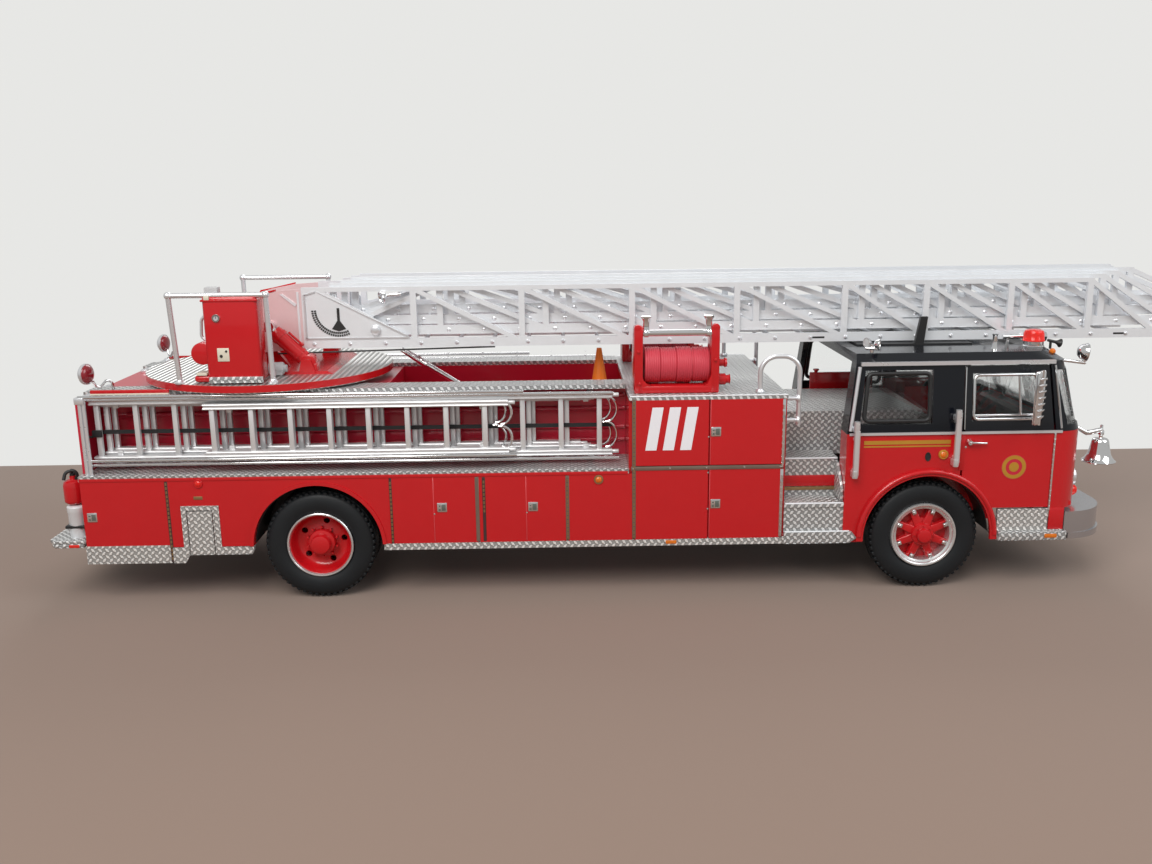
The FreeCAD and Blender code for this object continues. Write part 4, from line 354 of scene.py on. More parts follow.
window_pane = clear("window_pane", (0.92, 0.95, 0.95), 0.01, alpha=0.35)
red_lens = clear("red_lens", (0.85, 0.03, 0.02), 0.08, through=0.45, glow=0.12)
amber_lens = clear("amber_lens", (0.85, 0.22, 0.02), 0.1, through=0.4, glow=0.08)
lamp_glass = clear("lamp_glass", (0.9, 0.92, 0.93), 0.05, through=0.5)

# %% [markdown]
# ## Finishes on the CAD nodes
# Most CAD nodes keep their shape and only take a finish. A table pairs each finish with its nodes. Those
# that are replaced further down, by a piece with more form, have one too.

# %% Dress the CAD nodes
NODE_FINISH = {
    chassis_black: "chassis_frame base_bosses rear_axle front_axle drive_shaft engine_block",
    two_tone: "cab_doors",
    red_paint: "body_doors body_shell cab_lower trunnion_frame control_pedestal hoist_barrels reel_frames"
               " rear_lamps beacon rim_front_right rim_front_left rim_rear_right rim_rear_left extinguishers",
    shade_tinted_red: "rack_walls",
    black_paint: "cab_upper cab_roof",
    black_plastic: "ladder_cradle dashboard",
    seat_plastic: "cab_seats",
    plate_bright: "body_decks side_steps engine_cover",
    plate_coarse: "tread_skirts rear_step",
    deck_ribbed: "turntable_deck",
    ladder_silver: "ladder_base ladder_second ladder_third ladder_fly",
    rosy_silver: "ladder_heel",
    rack_silver: "ground_ladders rack_posts",
    chrome: "bell roof_horns roof_lamps mirrors reel_rollers playpipe hoist_rods rear_warning_lamps",
    dull_chrome: "front_bumper",
    tube_silver: "grab_rails turntable_rails cab_trim front_grille",
    rubber: "tyre_front_right tyre_front_left tyre_rear_right tyre_rear_left",
    window_pane: "cab_glass",
    hose_red: "hose_reels",
    cone_orange: "traffic_cones",
}
dressed = 0
for material, names in NODE_FINISH.items():
    for node_name in names.split():
        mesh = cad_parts[node_name].data
        mesh.materials.clear()
        mesh.materials.append(material)
        dressed += 1
print(dressed, "CAD nodes dressed of", len(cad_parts))

# %% [markdown]
# ## Tools for the new pieces
# Each tool starts from a primitive, as by hand, and works in millimetres. `finished` sets the place into the
# mesh, gives the piece its finish and hands it to a body, so that it moves with that body's joints. `pair`
# does so with the piece and its mirror image.


# %% Primitives at a place
def named(name):
    piece = bpy.context.object
    piece.name = name
    return piece


def select(pieces):
    """Selects these pieces alone and makes the first one active."""
    bpy.ops.object.select_all(action="DESELECT")
    for piece in pieces:
        piece.select_set(True)
    bpy.context.view_layer.objects.active = pieces[0]


def apply_place():
    bpy.ops.object.transform_apply(location=True, rotation=True, scale=True)


def aimed(piece, way):
    """Turns a piece's own Z axis along way and sets that into its mesh."""
    piece.rotation_mode = "QUATERNION"
    piece.rotation_quaternion = Vector(way).to_track_quat("Z", "Y")
    apply_place()
    return piece


def modifier(piece, kind, **settings):
    """Adds a modifier and applies it at once."""
    select([piece])
    made = piece.modifiers.new(kind.lower(), kind)
    for key, value in settings.items():
        setattr(made, key, value)
    bpy.ops.object.modifier_apply(modifier=made.name)
    return piece


def soften(piece, width, segments, angle=35):
    """Rounds every edge sharper than angle."""
    if not width:
        return piece
    return modifier(piece, "BEVEL", width=width * MM, segments=segments, limit_method="ANGLE",
                    angle_limit=math.radians(angle))


def slab(name, low, high, round_to, segments=2):
    """A box between two corners, with rounded edges."""
    middle = [(a + b) / 2 for a, b in zip(low, high)]
    bpy.ops.mesh.primitive_cube_add(size=1, location=at(*middle))
    piece = named(name)
    piece.scale = [(b - a) * MM for a, b in zip(low, high)]
    apply_place()
    return soften(piece, round_to, segments)


def turned(name, outline, start, way, steps=24):
    """A lathe piece: outline is (radius, distance along) pairs, spun about the line from start along way."""
    bpy.ops.mesh.primitive_circle_add(vertices=len(outline), radius=MM)
    piece = named(name)
    for vertex, (radius, along) in zip(piece.data.vertices, outline):
        vertex.co = Vector((radius * MM, 0, along * MM))
    bpy.ops.object.mode_set(mode="EDIT")
    bpy.ops.mesh.select_all(action="SELECT")
    bpy.ops.mesh.spin(steps=steps, angle=2 * math.pi, center=(0, 0, 0), axis=(0, 0, 1))
    bpy.ops.mesh.select_all(action="SELECT")
    bpy.ops.mesh.remove_doubles(threshold=0.004 * MM)
    bpy.ops.mesh.normals_make_consistent(inside=False)
    bpy.ops.object.mode_set(mode="OBJECT")
    piece.location = at(*start)
    return aimed(piece, way)


def flat(name, outline, axis, low, high, round_to=0):
    """A flat piece: outline is (x, z) with axis "Y", (y, z) with "X" or (x, y) with "Z"."""
    bpy.ops.mesh.primitive_circle_add(vertices=len(outline), radius=MM, fill_type="NGON")
    piece = named(name)
    for vertex, (a, b) in zip(piece.data.vertices, outline):
        vertex.co = at(*{"X": (low, a, b), "Y": (a, low, b), "Z": (a, b, low)}[axis])
    thick = [(high - low) * MM if letter == axis else 0 for letter in "XYZ"]
    bpy.ops.object.mode_set(mode="EDIT")
    bpy.ops.mesh.select_all(action="SELECT")
    bpy.ops.mesh.extrude_region_move(TRANSFORM_OT_translate={"value": thick})
    bpy.ops.mesh.select_all(action="SELECT")
    bpy.ops.mesh.normals_make_consistent(inside=False)
    bpy.ops.object.mode_set(mode="OBJECT")
    return soften(piece, round_to, 2, 30)


def rod(name, start, end, radius, sides=16, round_to=0):
    """A round bar between two points."""
    a, b = at(*start), at(*end)
    bpy.ops.mesh.primitive_cylinder_add(vertices=sides, radius=radius * MM, depth=(b - a).length,
                                        location=(a + b) / 2)
    return soften(aimed(named(name), b - a), round_to, 2, 50)


def ball(name, place, radius):
    bpy.ops.mesh.primitive_uv_sphere_add(segments=20, ring_count=12, radius=radius * MM, location=at(*place))
    piece = named(name)
    apply_place()
    return piece


def rounded(points, bend):
    """The points of a line with its corners turned into arcs of at most that radius."""
    points = [Vector(p) for p in points]
    made = [points[0]]
    for before, corner, after in zip(points, points[1:], points[2:]):
        back, on = before - corner, after - corner
        half = back.angle(on) / 2
        cut = min(bend / math.tan(half), back.length * 0.49, on.length * 0.49)
        back, on = back.normalized(), on.normalized()
        hub = corner + (back + on).normalized() * (cut * math.tan(half) / math.sin(half))
        first, last = corner + back * cut - hub, corner + on * cut - hub
        straight = first.angle(last) <= 1e-4
        made += [hub + (first if straight else first.slerp(last, i / 6)) for i in range(7)]
    made.append(points[-1])
    return made


def pipe(name, points, radius, bend=0, sides=3, closed=False):
    """A bent tube along points; the profile has 4 * sides corners."""
    line = rounded(points, bend) if bend else points
    bpy.ops.curve.primitive_nurbs_path_add(location=(0, 0, 0))
    piece = named(name)
    curve = piece.data
    curve.splines.clear()
    spline = curve.splines.new("POLY")
    spline.points.add(len(line) - 1)
    for point, place in zip(spline.points, line):
        point.co = (*at(*place), 1)
    spline.use_cyclic_u = closed
    curve.bevel_depth = radius * MM
    curve.bevel_resolution = sides
    curve.use_fill_caps = not closed
    select([piece])
    bpy.ops.object.convert(target="MESH")
    return bpy.context.object


def scaled(outline, wide, deep):
    return [(a * wide, b * deep) for a, b in outline]


# %% Copies, mirrors and handing over
def join(name, pieces):
    """One mesh of several."""
    select(pieces)
    if len(pieces) > 1:
        bpy.ops.object.join()
    piece = bpy.context.view_layer.objects.active
    piece.name = name
    return piece


def placed(piece, shift=(0, 0, 0), turn=None, about=(0, 0, 0)):
    """Shifts a piece in mm and turns it by (degrees, axis letter) about a point."""
    change = Matrix.Translation(Vector(shift) * MM)
    if turn:
        hub = Matrix.Translation(at(*about))
        change = change @ hub @ Matrix.Rotation(math.radians(turn[0]), 4, turn[1]) @ hub.inverted()
    piece.data.transform(change)
    return piece


def moved(piece, **change):
    """A copy with its own mesh, shifted and turned in the same way."""
    copy = piece.copy()
    copy.data = piece.data.copy()
    bpy.context.collection.objects.link(copy)
    return placed(copy, **change)


def mirrored(piece):
    """Flips a piece across the centre plane, facing outwards again."""
    piece.data.transform(Matrix.Scale(-1, 4, (0, 1, 0)))
    piece.data.flip_normals()
    return piece


def copied(piece, changes):
    """Moved copies of a piece, one for each change, as one mesh in its stead."""
    name = piece.name
    copies = [moved(piece, **change) for change in changes]
    bpy.data.objects.remove(piece)
    return join(name, copies)


def strewn(piece, places):
    """A piece modelled at the rear axle's ground point, set at each place."""
    return copied(piece, [{"shift": place} for place in places])


def finished(piece, material, body="truck", stands_for=()):
    """Gives a piece its finish, smooths its round faces and lets it ride on a body."""
    piece.data.materials.clear()
    piece.data.materials.append(material)
    select([piece])
    apply_place()
    bpy.ops.object.shade_smooth_by_angle(angle=math.radians(40))
    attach(piece, body)
    if stands_for:
        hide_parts(*stands_for)
    return piece


def pair(piece, material, body="truck", stands_for=()):
    """The piece and its mirror image, as one finished mesh."""
    return finished(join(piece.name, [piece, mirrored(moved(piece))]), material, body, stands_for)


# %% [markdown]
# ## Wheels
# A tyre is a turned section with grooves between its ribs, and a ring of short blocks along each shoulder.
# It stands in for the plain CAD tyre. Front and rear wheels differ: the front ones are cast spokes with a
# clamp on each, the rear ones a deep dish with five hand holes. One of each is made at the right rear
# axle's place, then shifted and mirrored.

# %% Tools for wheels
FACE = 23.4                 # outer face of the outer tyres
TYRE_WIDE = 5.4
TWIN_GAP = 0.8              # between the twin tyres at the rear


def wheel(x, depth, z):
    """A point of the right rear wheel: depth from the tyre's face inwards, z above the axle."""
    return x, depth - FACE, z + TYRE_R


def hub_turned(name, outline, depth, steps):
    return turned(name, outline, wheel(0, depth, 0), INWARD, steps)


def stud(name, depths, z, radius, sides, round_to=0):
    """A bar along the axle's direction, z above it, between two depths."""
    return rod(name, wheel(0, depths[0], z), wheel(0, depths[1], z), radius, sides, round_to)


def around(piece, count, first=0):
    """Copies of a piece turned about the wheel's axle, as one mesh."""
    return copied(piece, [{"turn": (first + i * 360 / count, "Y"), "about": (0, 0, TYRE_R)}
                          for i in range(count)])


def to_wheels(piece, axle, material, stands_for=""):
    """Puts a piece modelled at the right rear wheel on both wheels of an axle.

    stands_for is how the names of the CAD nodes that it replaces begin.
    """
    for side in ("right", "left"):
        wheel_name = "%s_%s" % (axle, side)
        copy = moved(piece, shift=(WHEELBASE if axle == "front" else 0, 0, 0))
        if side == "left":
            mirrored(copy)
        copy.name = "%s_%s" % (piece.name, wheel_name)
        finished(copy, material, "wheel_" + wheel_name, [stands_for + wheel_name] if stands_for else ())
    bpy.data.objects.remove(piece)


# %% Tyres
SHOULDER_BLOCKS = 54
R = TYRE_R
TYRE_SECTION = [            # from the outer bead round to the inner one, with three grooves in the tread
    (6.45, 0.95), (6.62, 0.42), (7.2, 0.14), (8.2, 0.02), (9, 0.06), (9.5, 0.2), (9.9, 0.34), (10.2, 0.62),
    (10.32, 1), (10.36, 1.42), (R, 1.46), (R, 2.1), (10.4, 2.14), (10.4, 2.3), (R, 2.34), (R, 3.06),
    (10.4, 3.1), (10.4, 3.26), (R, 3.3), (R, 3.94), (10.36, 3.98), (10.32, 4.4), (10.2, 4.78), (9.9, 5.06),
    (9.5, 5.2), (9, 5.34), (8.2, 5.38), (7.2, 5.26), (6.62, 4.98), (6.45, 4.45)]


def tyre():
    parts = [hub_turned("carcass", TYRE_SECTION, 0, 72)]
    for outer, inner in ((0.5, 1.3), (4.1, 4.9)):
        block = slab("block", wheel(-0.34, outer, R - 0.75), wheel(0.34, inner, R - 0.02), 0.08, 1)
        for vertex in block.data.vertices:
            from_middle = abs(vertex.co.y / MM + FACE - TYRE_WIDE / 2)
            if vertex.co.z / MM > 2 * R - 0.4 and from_middle > 1.7:
                vertex.co.z -= 0.16 * MM                   # the shoulder falls away
        parts.append(around(block, SHOULDER_BLOCKS, 3 * outer))
    return join("rubber_tyre", parts)


to_wheels(tyre(), "front", rubber, "tyre_")
outer_tyre = tyre()
inner_tyre = moved(outer_tyre, shift=(0, TYRE_WIDE + TWIN_GAP, 0))
to_wheels(join("rubber_tyre", [outer_tyre, inner_tyre]), "rear", rubber, "tyre_")

# %% Front rims: silver ring, red spokes, bright clamps
silver_ring = [(6.42, 0.2), (6.3, 0.02), (6.05, 0), (5.86, 0.1), (5.7, 0.42), (5.5, 0.5), (5.28, 0.62),
               (5.2, 0.9), (5.2, 4.7), (5.6, 4.9), (6.42, 4.9)]
to_wheels(hub_turned("rim_ring", silver_ring, 0.02, 64), "front", brushed)
spoke = slab("spoke", wheel(-0.72, 1.3, 1.2), wheel(0.72, 2.9, 5.25), 0.22, 3)
middle = at(0, 0, 0).x
for vertex in spoke.data.vertices:                         # a spoke tapers outwards and leans back
    high = (vertex.co.z / MM - TYRE_R - 1.2) / 4
    if vertex.co.y / MM < 2 - FACE:
        vertex.co.y += (0.45 * high - 0.4) * MM
    vertex.co.x = middle + (vertex.co.x - middle) * (1.25 - 0.35 * high)
hub = [(0, 0), (0.9, 0.02), (1.25, 0.12), (1.42, 0.4), (1.45, 1.1), (2.05, 1.2), (2.2, 1.4), (2.25, 2.4),
       (3.1, 2.6), (3.2, 3.4), (0, 3.6)]
star = [around(spoke, 8, 22.5), hub_turned("hub", hub, -0.85, 40),
        hub_turned("web", [(2, 0), (5.3, 0.3), (5.3, 0.9), (2, 0.7)], 2.6, 48)]
to_wheels(join("cast_spokes", star), "front", red_paint, "rim_")
clamp = join("clamp", [slab("foot", wheel(-0.42, 0.75, 4.35), wheel(0.42, 1.4, 5.3), 0.14),
                       stud("stud", (0.4, 1.2), 4.75, 0.24, 8, 0.05)])
to_wheels(around(clamp, 8, 22.5), "front", chrome)
to_wheels(around(stud("hub_bolt", (-0.02, 0.5), 1.78, 0.17, 6, 0.03), 8), "front", red_paint)

# %% Rear rims: silver lip, red dish with hand holes, hub
lip = [(6.42, 0.1), (6.3, 0), (6.1, 0.02), (5.95, 0.2), (5.92, 0.5), (6.1, 0.7), (6.42, 0.7)]
to_wheels(hub_turned("rim_lip", lip, 0, 64), "rear", brushed)
dish_line = [(6.05, 0.5), (5.75, 0.55), (5.62, 1.2), (5.5, 2.4), (4.9, 3.1), (4, 3.35), (3.2, 3.2),
             (2.4, 2.9), (2.2, 2.9), (2.2, 3.9), (4, 3.9), (5.4, 3.4), (6.05, 2.6)]
dish = hub_turned("dish", dish_line, 0, 60)
holes = around(stud("hole", (1.9, 5.2), 4.1, 0.62, 20), 5, 12)
modifier(dish, "BOOLEAN", object=holes, operation="DIFFERENCE", solver="EXACT")
bpy.data.objects.remove(holes)
cap_line = [(0, 0), (1.3, 0.04), (1.75, 0.2), (1.9, 0.6), (1.95, 1.6), (2.5, 1.75), (2.6, 2.1), (2.6, 3.2),
            (0, 3.3)]
back_line = [(2.1, 3), (2.1, 9.9), (5.5, 9.3), (5.6, 10.9), (6.4, 11.3), (6.4, 6.5), (5.6, 6.9), (5.5, 8.5),
             (2.6, 8.6), (2.6, 3)]
parts = [dish, hub_turned("cap", cap_line, -0.2, 40), hub_turned("inner_wheel", back_line, 0, 48)]
to_wheels(join("dished_wheel", parts), "rear", red_paint, "rim_")
to_wheels(around(stud("wheel_nut", (1.95, 3.1), 2.95, 0.24, 6, 0.05), 10), "rear", red_paint)

# %% [markdown]
# ## The body's sides
# The doors are plain sheet in CAD. Here they get what is fixed to them: hinge strips with their knuckles,
# flush latches, round lamps, a rail across the reel box, side markers and a plain marking. All is made on
# the right and mirrored.

# %% Hinge strips
SILL, SHELF, BOX_TOP = 11.4, 24.2, 38.8                    # lower and upper ends of the doors
HINGES = [                  # x, bottom, top, width, first knuckle, finish
    (-28.1, 8.2, SHELF, 0.6, 9, strip_dark),
    (14.3, SILL, SHELF, 0.5, 11.8, strip_dark),
    (30.75, SILL, SHELF, 0.75, 30, strip_grey),
    (32.05, SILL, SHELF, 0.6, 17.5, strip_dark),
    (48, SILL, SHELF, 0.7, 11.8, strip_grey),
    (60.75, SILL, BOX_TOP, 0.7, 11.8, strip_grey),
]
for name, material in (("hinge_strips", strip_grey), ("dark_hinge_strips", strip_dark)):
    strips = [slab("strip", (x - wide / 2, OUT - 0.07, low), (x + wide / 2, OUT + 0.3, high), 0.05, 1)
              for x, low, high, wide, first, shade in HINGES if shade is material]
    pair(join(name, strips), material)
places = []
for x, low, high, wide, first, shade in HINGES:
    while first < high - 0.4:
        places.append((x, OUT - 0.02, first))
        first += 0.82
pair(strewn(rod("hinge_knuckles", (0, 0, -0.27), (0, 0, 0.27), 0.2, 8), places), brass)

# %% The rail across the reel box, with its screws, and the folded edges where two leaves of a door meet, in a lighter red as painted highlight
pair(slab("reel_box_rail", (60.2, OUT - 0.12, 25), (89.2, OUT + 0.2, 25.75), 0.06), strip_grey)
places = [(x, OUT - 0.1, 25.38) for x in (60.6, 67.6, 74.6, 81.8, 88.7)]
places += [(x, OUT - 0.02, z) for x, z in ((22.5, 17), (40.2, 17), (74.9, 17.2), (74.9, 24.4), (74.9, 31.4))]
pair(strewn(rod("body_screws", (0, -0.08, 0), (0, 0.1, 0), 0.17, 10, 0.04), places), chrome)
FOLDS = ((22.4, SILL, SHELF), (40.1, SILL, SHELF), (75.25, SILL, 25), (75.25, 25.9, 38.5))
folds = [slab("fold", (x - 0.09, OUT - 0.06, low), (x + 0.09, OUT + 0.1, high), 0.05, 1)
         for x, low, high in FOLDS]
pair(join("door_folds", folds), fold_highlight)

# %% Flush latches: bezel, keyhole plate and paddle
LATCHES = [(x, OUT, z) for x, z in ((-42.6, 17.4), (24, 18.3), (41.4, 18.2), (76.3, 32.4), (76.4, 18.2))]
pair(strewn(slab("latch_bezels", (-0.95, -0.14, -0.92), (0.95, 0.1, 0.92), 0.1), LATCHES), chrome)
paddle = [slab("flap", (-0.1, -0.2, -0.62), (0.68, 0, 0.62), 0.06),
          slab("key", (-0.66, -0.18, -0.62), (-0.3, 0, -0.15), 0.05),
          rod("barrel", (-0.48, -0.24, 0.3), (-0.48, 0, 0.3), 0.17, 10)]
pair(strewn(join("latch_paddles", paddle), LATCHES), latch_face)

# %% Round lamps and plates on the doors
RING = [(0.62, 0.16), (0.66, 0), (0.86, 0), (0.96, 0.12), (0.98, 0.3), (0.62, 0.3)]
DOME = [(0, -0.28), (0.28, -0.24), (0.5, -0.12), (0.68, 0.06), (0.68, 0.28), (0, 0.28)]


def round_lamp(name, place, wide, deep, lens, ring, way=INWARD, steps=28):
    """A domed lens in a turned ring, facing away from way; name has a gap for the part's own."""
    for part, outline, material in (("lens", DOME, lens), ("ring", RING, ring)):
        pair(turned(name % part, scaled(outline, wide, deep), place, way, steps), material)


round_lamp("stabiliser_lamp_%s", (-22, OUT - 0.22, 23.75), 0.95, 0.95, red_lens, red_paint)
round_lamp("side_marker_lamp_%s", (54, OUT - 0.22, 23.35), 0.95, 0.95, amber_lens, brass)
pair(slab("stabiliser_plate", (-23.1, OUT - 0.06, 20.6), (-21.4, OUT + 0.1, 21.25), 0.04), brass)
markers = [slab("body_marker", (66.9, OUT - 0.16, 10.25), (69, OUT + 0.2, 10.95), 0.12),
           slab("cab_marker", (140.3, -25.55, 10.5), (142.7, -25.2, 11.3), 0.14)]
pair(join("side_markers", markers), amber_lens)
pair(slab("tail_marker", (-47.4, -23.66, 11), (-45.4, -23.3, 11.65), 0.12), red_lens)

# %% A plain marking of slanted bars
SLANT, BAR_FOOT = 0.16, 28.9
bars = [slab("bar", (x, OUT - 0.03, BAR_FOOT), (x + 2.1, OUT + 0.1, 37.2), 0) for x in (62.9, 66.2, 69.5)]
marking = join("white_marking", bars)
for vertex in marking.data.vertices:
    vertex.co.x += (vertex.co.z - BAR_FOOT * MM) * SLANT
pair(marking, white_paint)

# %% [markdown]
# ## Racks, straps and hooks
# The ground ladders hang in open racks. Three lie nested, so their rungs show in groups; a strap lies
# across them, and curved roof hooks stand at their front ends. Rivets run along the tubes above.

# %% Beams and rungs of the ground ladders
NESTED = [                  # rear x, front x, outer y, its bracket's inner y, bottom, top, first rung, rungs
    (-42.4, 56.8, -21.1, -19.2, 27.3, 39.6, -41.2, 14),
    (-40.9, 52.8, -19.4, 0, 27.9, 39, -40.1, 13),
    (-40, 50.8, -17.8, 0, 28.2, 38.6, -39.3, 12),
    (-20.4, 37, -22.9, -20.9, 28.4, 38.8, -18.9, 8),
]
RUNG_PITCH = 7.35
parts = []
for x0, x1, y, inner, low, high, first, count in NESTED:
    for z in (low, high - 1.2):
        parts += [slab("beam", (x0, y, z), (x1, y + 1.4, z + 1.2), 0.1),
                  rod("beam_end", (x1 - 0.3, y + 0.7, z + 0.6), (x1 + 1.3, y + 0.7, z + 0.6), 0.42, 12, 0.1)]
        parts += [rod("bead", (x0, y - 0.02, bead_z), (x1, y - 0.02, bead_z), 0.2, 8)
                  for bead_z in (z + 0.25, z + 0.95)]
    rung = slab("rung", (-0.5, y + 0.15, low + 0.6), (0.5, y + 1.1, high - 0.6), 0.2)
    parts.append(strewn(rung, [(first + RUNG_PITCH * i, 0, 0) for i in range(count)]))
    if inner:
        parts += [slab("bracket", (x - 0.5, y + 1.2, z), (x + 0.5, inner, z + 1), 0.1)
                  for x in (x0 + 4.5, x1 - 5) for z in (low + 1, high - 2)]
parts += [slab("bracket", (x - 0.6, -19.8, z), (x + 0.6, -13, z + 0.9), 0.1)
          for x in (-38.4, 52.8) for z in (26.5, 38)]
pair(join("rack_ladders", parts), rack_silver, stands_for=["ground_ladders"])

# %% Tubes along the racks' upper edge, with rivets, and the lower guard tubes
parts = [rod("tube", (-43.2, y, z), (x1, y, z), 0.32, 12, 0.1)
         for y, z, x1 in ((-23.6, 40.5, 40), (-22.6, 39.75, 57), (-23.4, 28.2, 38.5), (-23, 27.3, 58))]
places = [(-34 + 7.9 * i, y, z) for i in range(12) for y, z in ((-22.6, 40.02), (-23.6, 40.78))]
parts.append(strewn(rod("rivet", (0, 0, 0), (0, 0, 0.14), 0.22, 8, 0.05), places))
pair(join("rack_tubes", parts), chrome)
lines = [rod("rib", (-43.2, -13.2, z), (59.6, -13.2, z), 0.45, 12) for z in (28.6, 31.2, 35, 37.6)]
pair(join("rack_wall_ribs", lines), shade_tinted_red)

# %% Strap with its buckle, and curved roof hooks at the ladders' front ends
strap = [slab("strap", (-42.6, -19.75, 32.6), (57.2, -19.55, 33.4), 0.04, 1),
         slab("buckle", (-42.3, -21.4, 32.3), (-40.4, -21, 33.7), 0.15),
         pipe("tail", [(-42.2, -21.3, 32.4), (-43, -21.3, 31.8), (-43.2, -21.4, 31.2)], 0.22, 0.3)]
pair(join("ladder_straps", strap), strap_black)
bends = [math.radians(-15 + 14 * i) for i in range(15)]
hooks = [pipe("hook", [(x + size * 0.85 * math.sin(a), y, z + size * math.cos(a)) for a in bends], 0.24, 0, 2)
         for x, y, size in ((35.6, -22.3, 2.35), (34.5, -21, 2.3), (55.6, -20.5, 2.5), (54.6, -19, 2.4))
         for z in (36.3, 31.3)]
pair(join("roof_hooks", hooks), chrome)

# %% [markdown]
# ## Hose reels and the step well
# The winding is one turned profile: four bands, each with a ridge for every lay of hose. Its frame is two
# rounded cheeks on a base. Bright rollers guide the hose: one level, two upright.

# %% The wound hose
LAY = 0.42                  # between two lays of hose
profile = [(0.66, 0)]
for start, end, inset in ((0, 3, 0), (3, 6.1, 0.12), (6.1, 9, 0), (9.25, 12.35, 0.1)):
    count = round((end - start) / LAY)
    profile.append((3.1, start))
    for i in range(count):
        along = start + 0.05 + i * (end - start - 0.1) / count
        profile += [(radius - inset, along + on)
                    for radius, on in ((3.36, 0), (3.46, 0.1), (3.46, 0.22), (3.38, 0.34))]
    profile.append((3.1, end))
profile += [(3.1, 12.4), (0.66, 12.4)]
pair(turned("wound_hose", profile, (63, -18.6, 44.4), AHEAD, 36), hose_red, stands_for=["hose_reels"])

# %% Reel frames: two cheeks with rounded lugs on a base
CHEEK = [(-22.38, 39.5), (-22.38, 51.6), (-21.9, 52.3), (-19.4, 52.2), (-18.6, 51.6), (-16.5, 47.6),
         (-15.6, 45.4), (-15.42, 42), (-15.42, 39.5)]
MOTOR = [(0, 0), (1.1, 0), (1.1, 1.5), (0.8, 1.7), (0.8, 2.2), (1, 2.3), (0.9, 2.4), (0, 2.4)]
CRANK = [(0, 0), (0.7, 0), (0.7, 1.2), (0.95, 1.3), (0.8, 1.75), (0, 1.8)]
ROOTS = ([(62.4, 40.7), (62.4, 42.9), (62.75, 41.9), (63.5, 41.15), (64.4, 40.85)],
         [(75.7, 40.7), (74.2, 40.85), (74.9, 41.3), (75.3, 42.2), (75.7, 43.6)])
BOLTS = ((61.7, 47.5), (76.2, 45.8), (61.9, 41.4))
parts = [slab("base", (60.98, -22.3, 39.42), (77.02, -15.5, 40.9), 0.25, 3),
         turned("motor", MOTOR, (77.05, -19.6, 41.6), AHEAD),
         turned("crank_boss", CRANK, (77.05, -19.6, 44.8), AHEAD),
         rod("lug", (61.6, -22.36, 51.85), (61.6, -21.2, 51.85), 0.68, 20, 0.12),
         rod("lug", (76.3, -22.36, 51.85), (76.3, -21.2, 51.85), 0.76, 20, 0.12)]
parts += [flat("cheek", CHEEK, "X", x0, x1, 0.3) for x0, x1 in ((60.92, 62.62), (75.48, 77.08))]
parts += [flat("root", line, "Y", -22.3, -15.6) for line in ROOTS]
parts += [rod("bolt", (x, -22.75, z), (x, -22.3, z), 0.32, 6, 0.08) for x, z in BOLTS]
pair(join("reel_frame", parts), red_paint, stands_for=["reel_frames"])

# %% Rollers
level = [(0, 0), (0.5, 0), (0.5, 0.4), (0.78, 0.5), (0.78, 1.3), (0.62, 1.4), (0.62, 12), (0.78, 12.1),
         (0.78, 12.9), (0.5, 13), (0.5, 13.38), (0, 13.38)]
standing = [(0, 0), (0.72, 0), (0.85, 0.5), (0.72, 0.9), (0.62, 1.1), (0.62, 2.9), (0.75, 3.1), (1, 3.5),
            (1.02, 3.72), (0.8, 3.82), (0, 3.84)]
rollers = [turned("level_roller", level, (62.32, -21.7, 50.9), AHEAD, 20)]
rollers += [turned("standing_roller", standing, (x, -21.7, 50.38), UP) for x in (63.2, 75)]
pair(join("guide_rollers", rollers), chrome, stands_for=["reel_rollers"])

# %% Step well
pair(slab("step_red_strip", (89.9, -18.6, 19.7), (101.1, -18.35, 21.9), 0.05), red_paint)
pair(slab("step_brass_strip", (89.9, -18.62, 18.9), (101.1, -18.35, 19.6), 0.05), brass)
cheek = [(-23.6, 18), (-18.5, 18), (-18.5, 24.9), (-20, 24.7), (-23.6, 20.6)]
pair(flat("step_side_plate", cheek, "X", 100.75, 101.25, 0.06), plate_bright)
nosings = [rod("nosing", (x0, y, z), (x1, y, z), radius, 10)
           for x0, x1, y, z, radius in ((90, 101.2, -24, 17.75, 0.22), (90, 102.4, -24.55, 12.2, 0.2),
                                        (90, 101.2, -18.4, 25.3, 0.22), (60, 89.7, -24.4, 39.3, 0.16))]
pair(join("tread_nosings", nosings), ladder_silver)

# %% Bright hinge at the body's front corner, feet of the hoop rails, and a panel on the far side
MISSING = 10                # the knuckle left out where the rail crosses
places = [(89.05, OUT - 0.06, 12 + 1.25 * i) for i in range(21) if i != MISSING]
parts = [slab("lower", (88.72, OUT - 0.1, 11.4), (89.32, OUT + 0.2, 24.9), 0.05),
         slab("upper", (88.82, OUT - 0.1, 25.9), (89.42, OUT + 0.2, 38.5), 0.05),
         strewn(rod("knuckle", (0, 0, -0.42), (0, 0, 0.42), 0.22, 8), places)]
pair(join("bright_hinge", parts), chrome)
COLLAR = [(0.42, 0), (0.85, 0), (0.85, 0.3), (0.6, 0.6), (0.42, 0.6)]
collars = [turned("collar", COLLAR, (x, -22.5, z), way, 20)
           for x, z, way in ((84.8, 39.5, UP), (92.3, 38.2, AFT), (92.3, 34, AFT))]
pair(join("hoop_collars", collars), tube_silver)
KNOB = [(0, 0), (0.4, 0), (0.4, 0.4), (0.7, 0.6), (0.6, 0.9), (0, 1)]
panel = [slab("panel", (103.4, 15.6, 31.6), (113.8, 16.6, 36.4), 0.2),
         turned("knob", KNOB, (104.8, 16.1, 36.3), UP, 20)]
finished(join("far_panel", panel), red_paint)

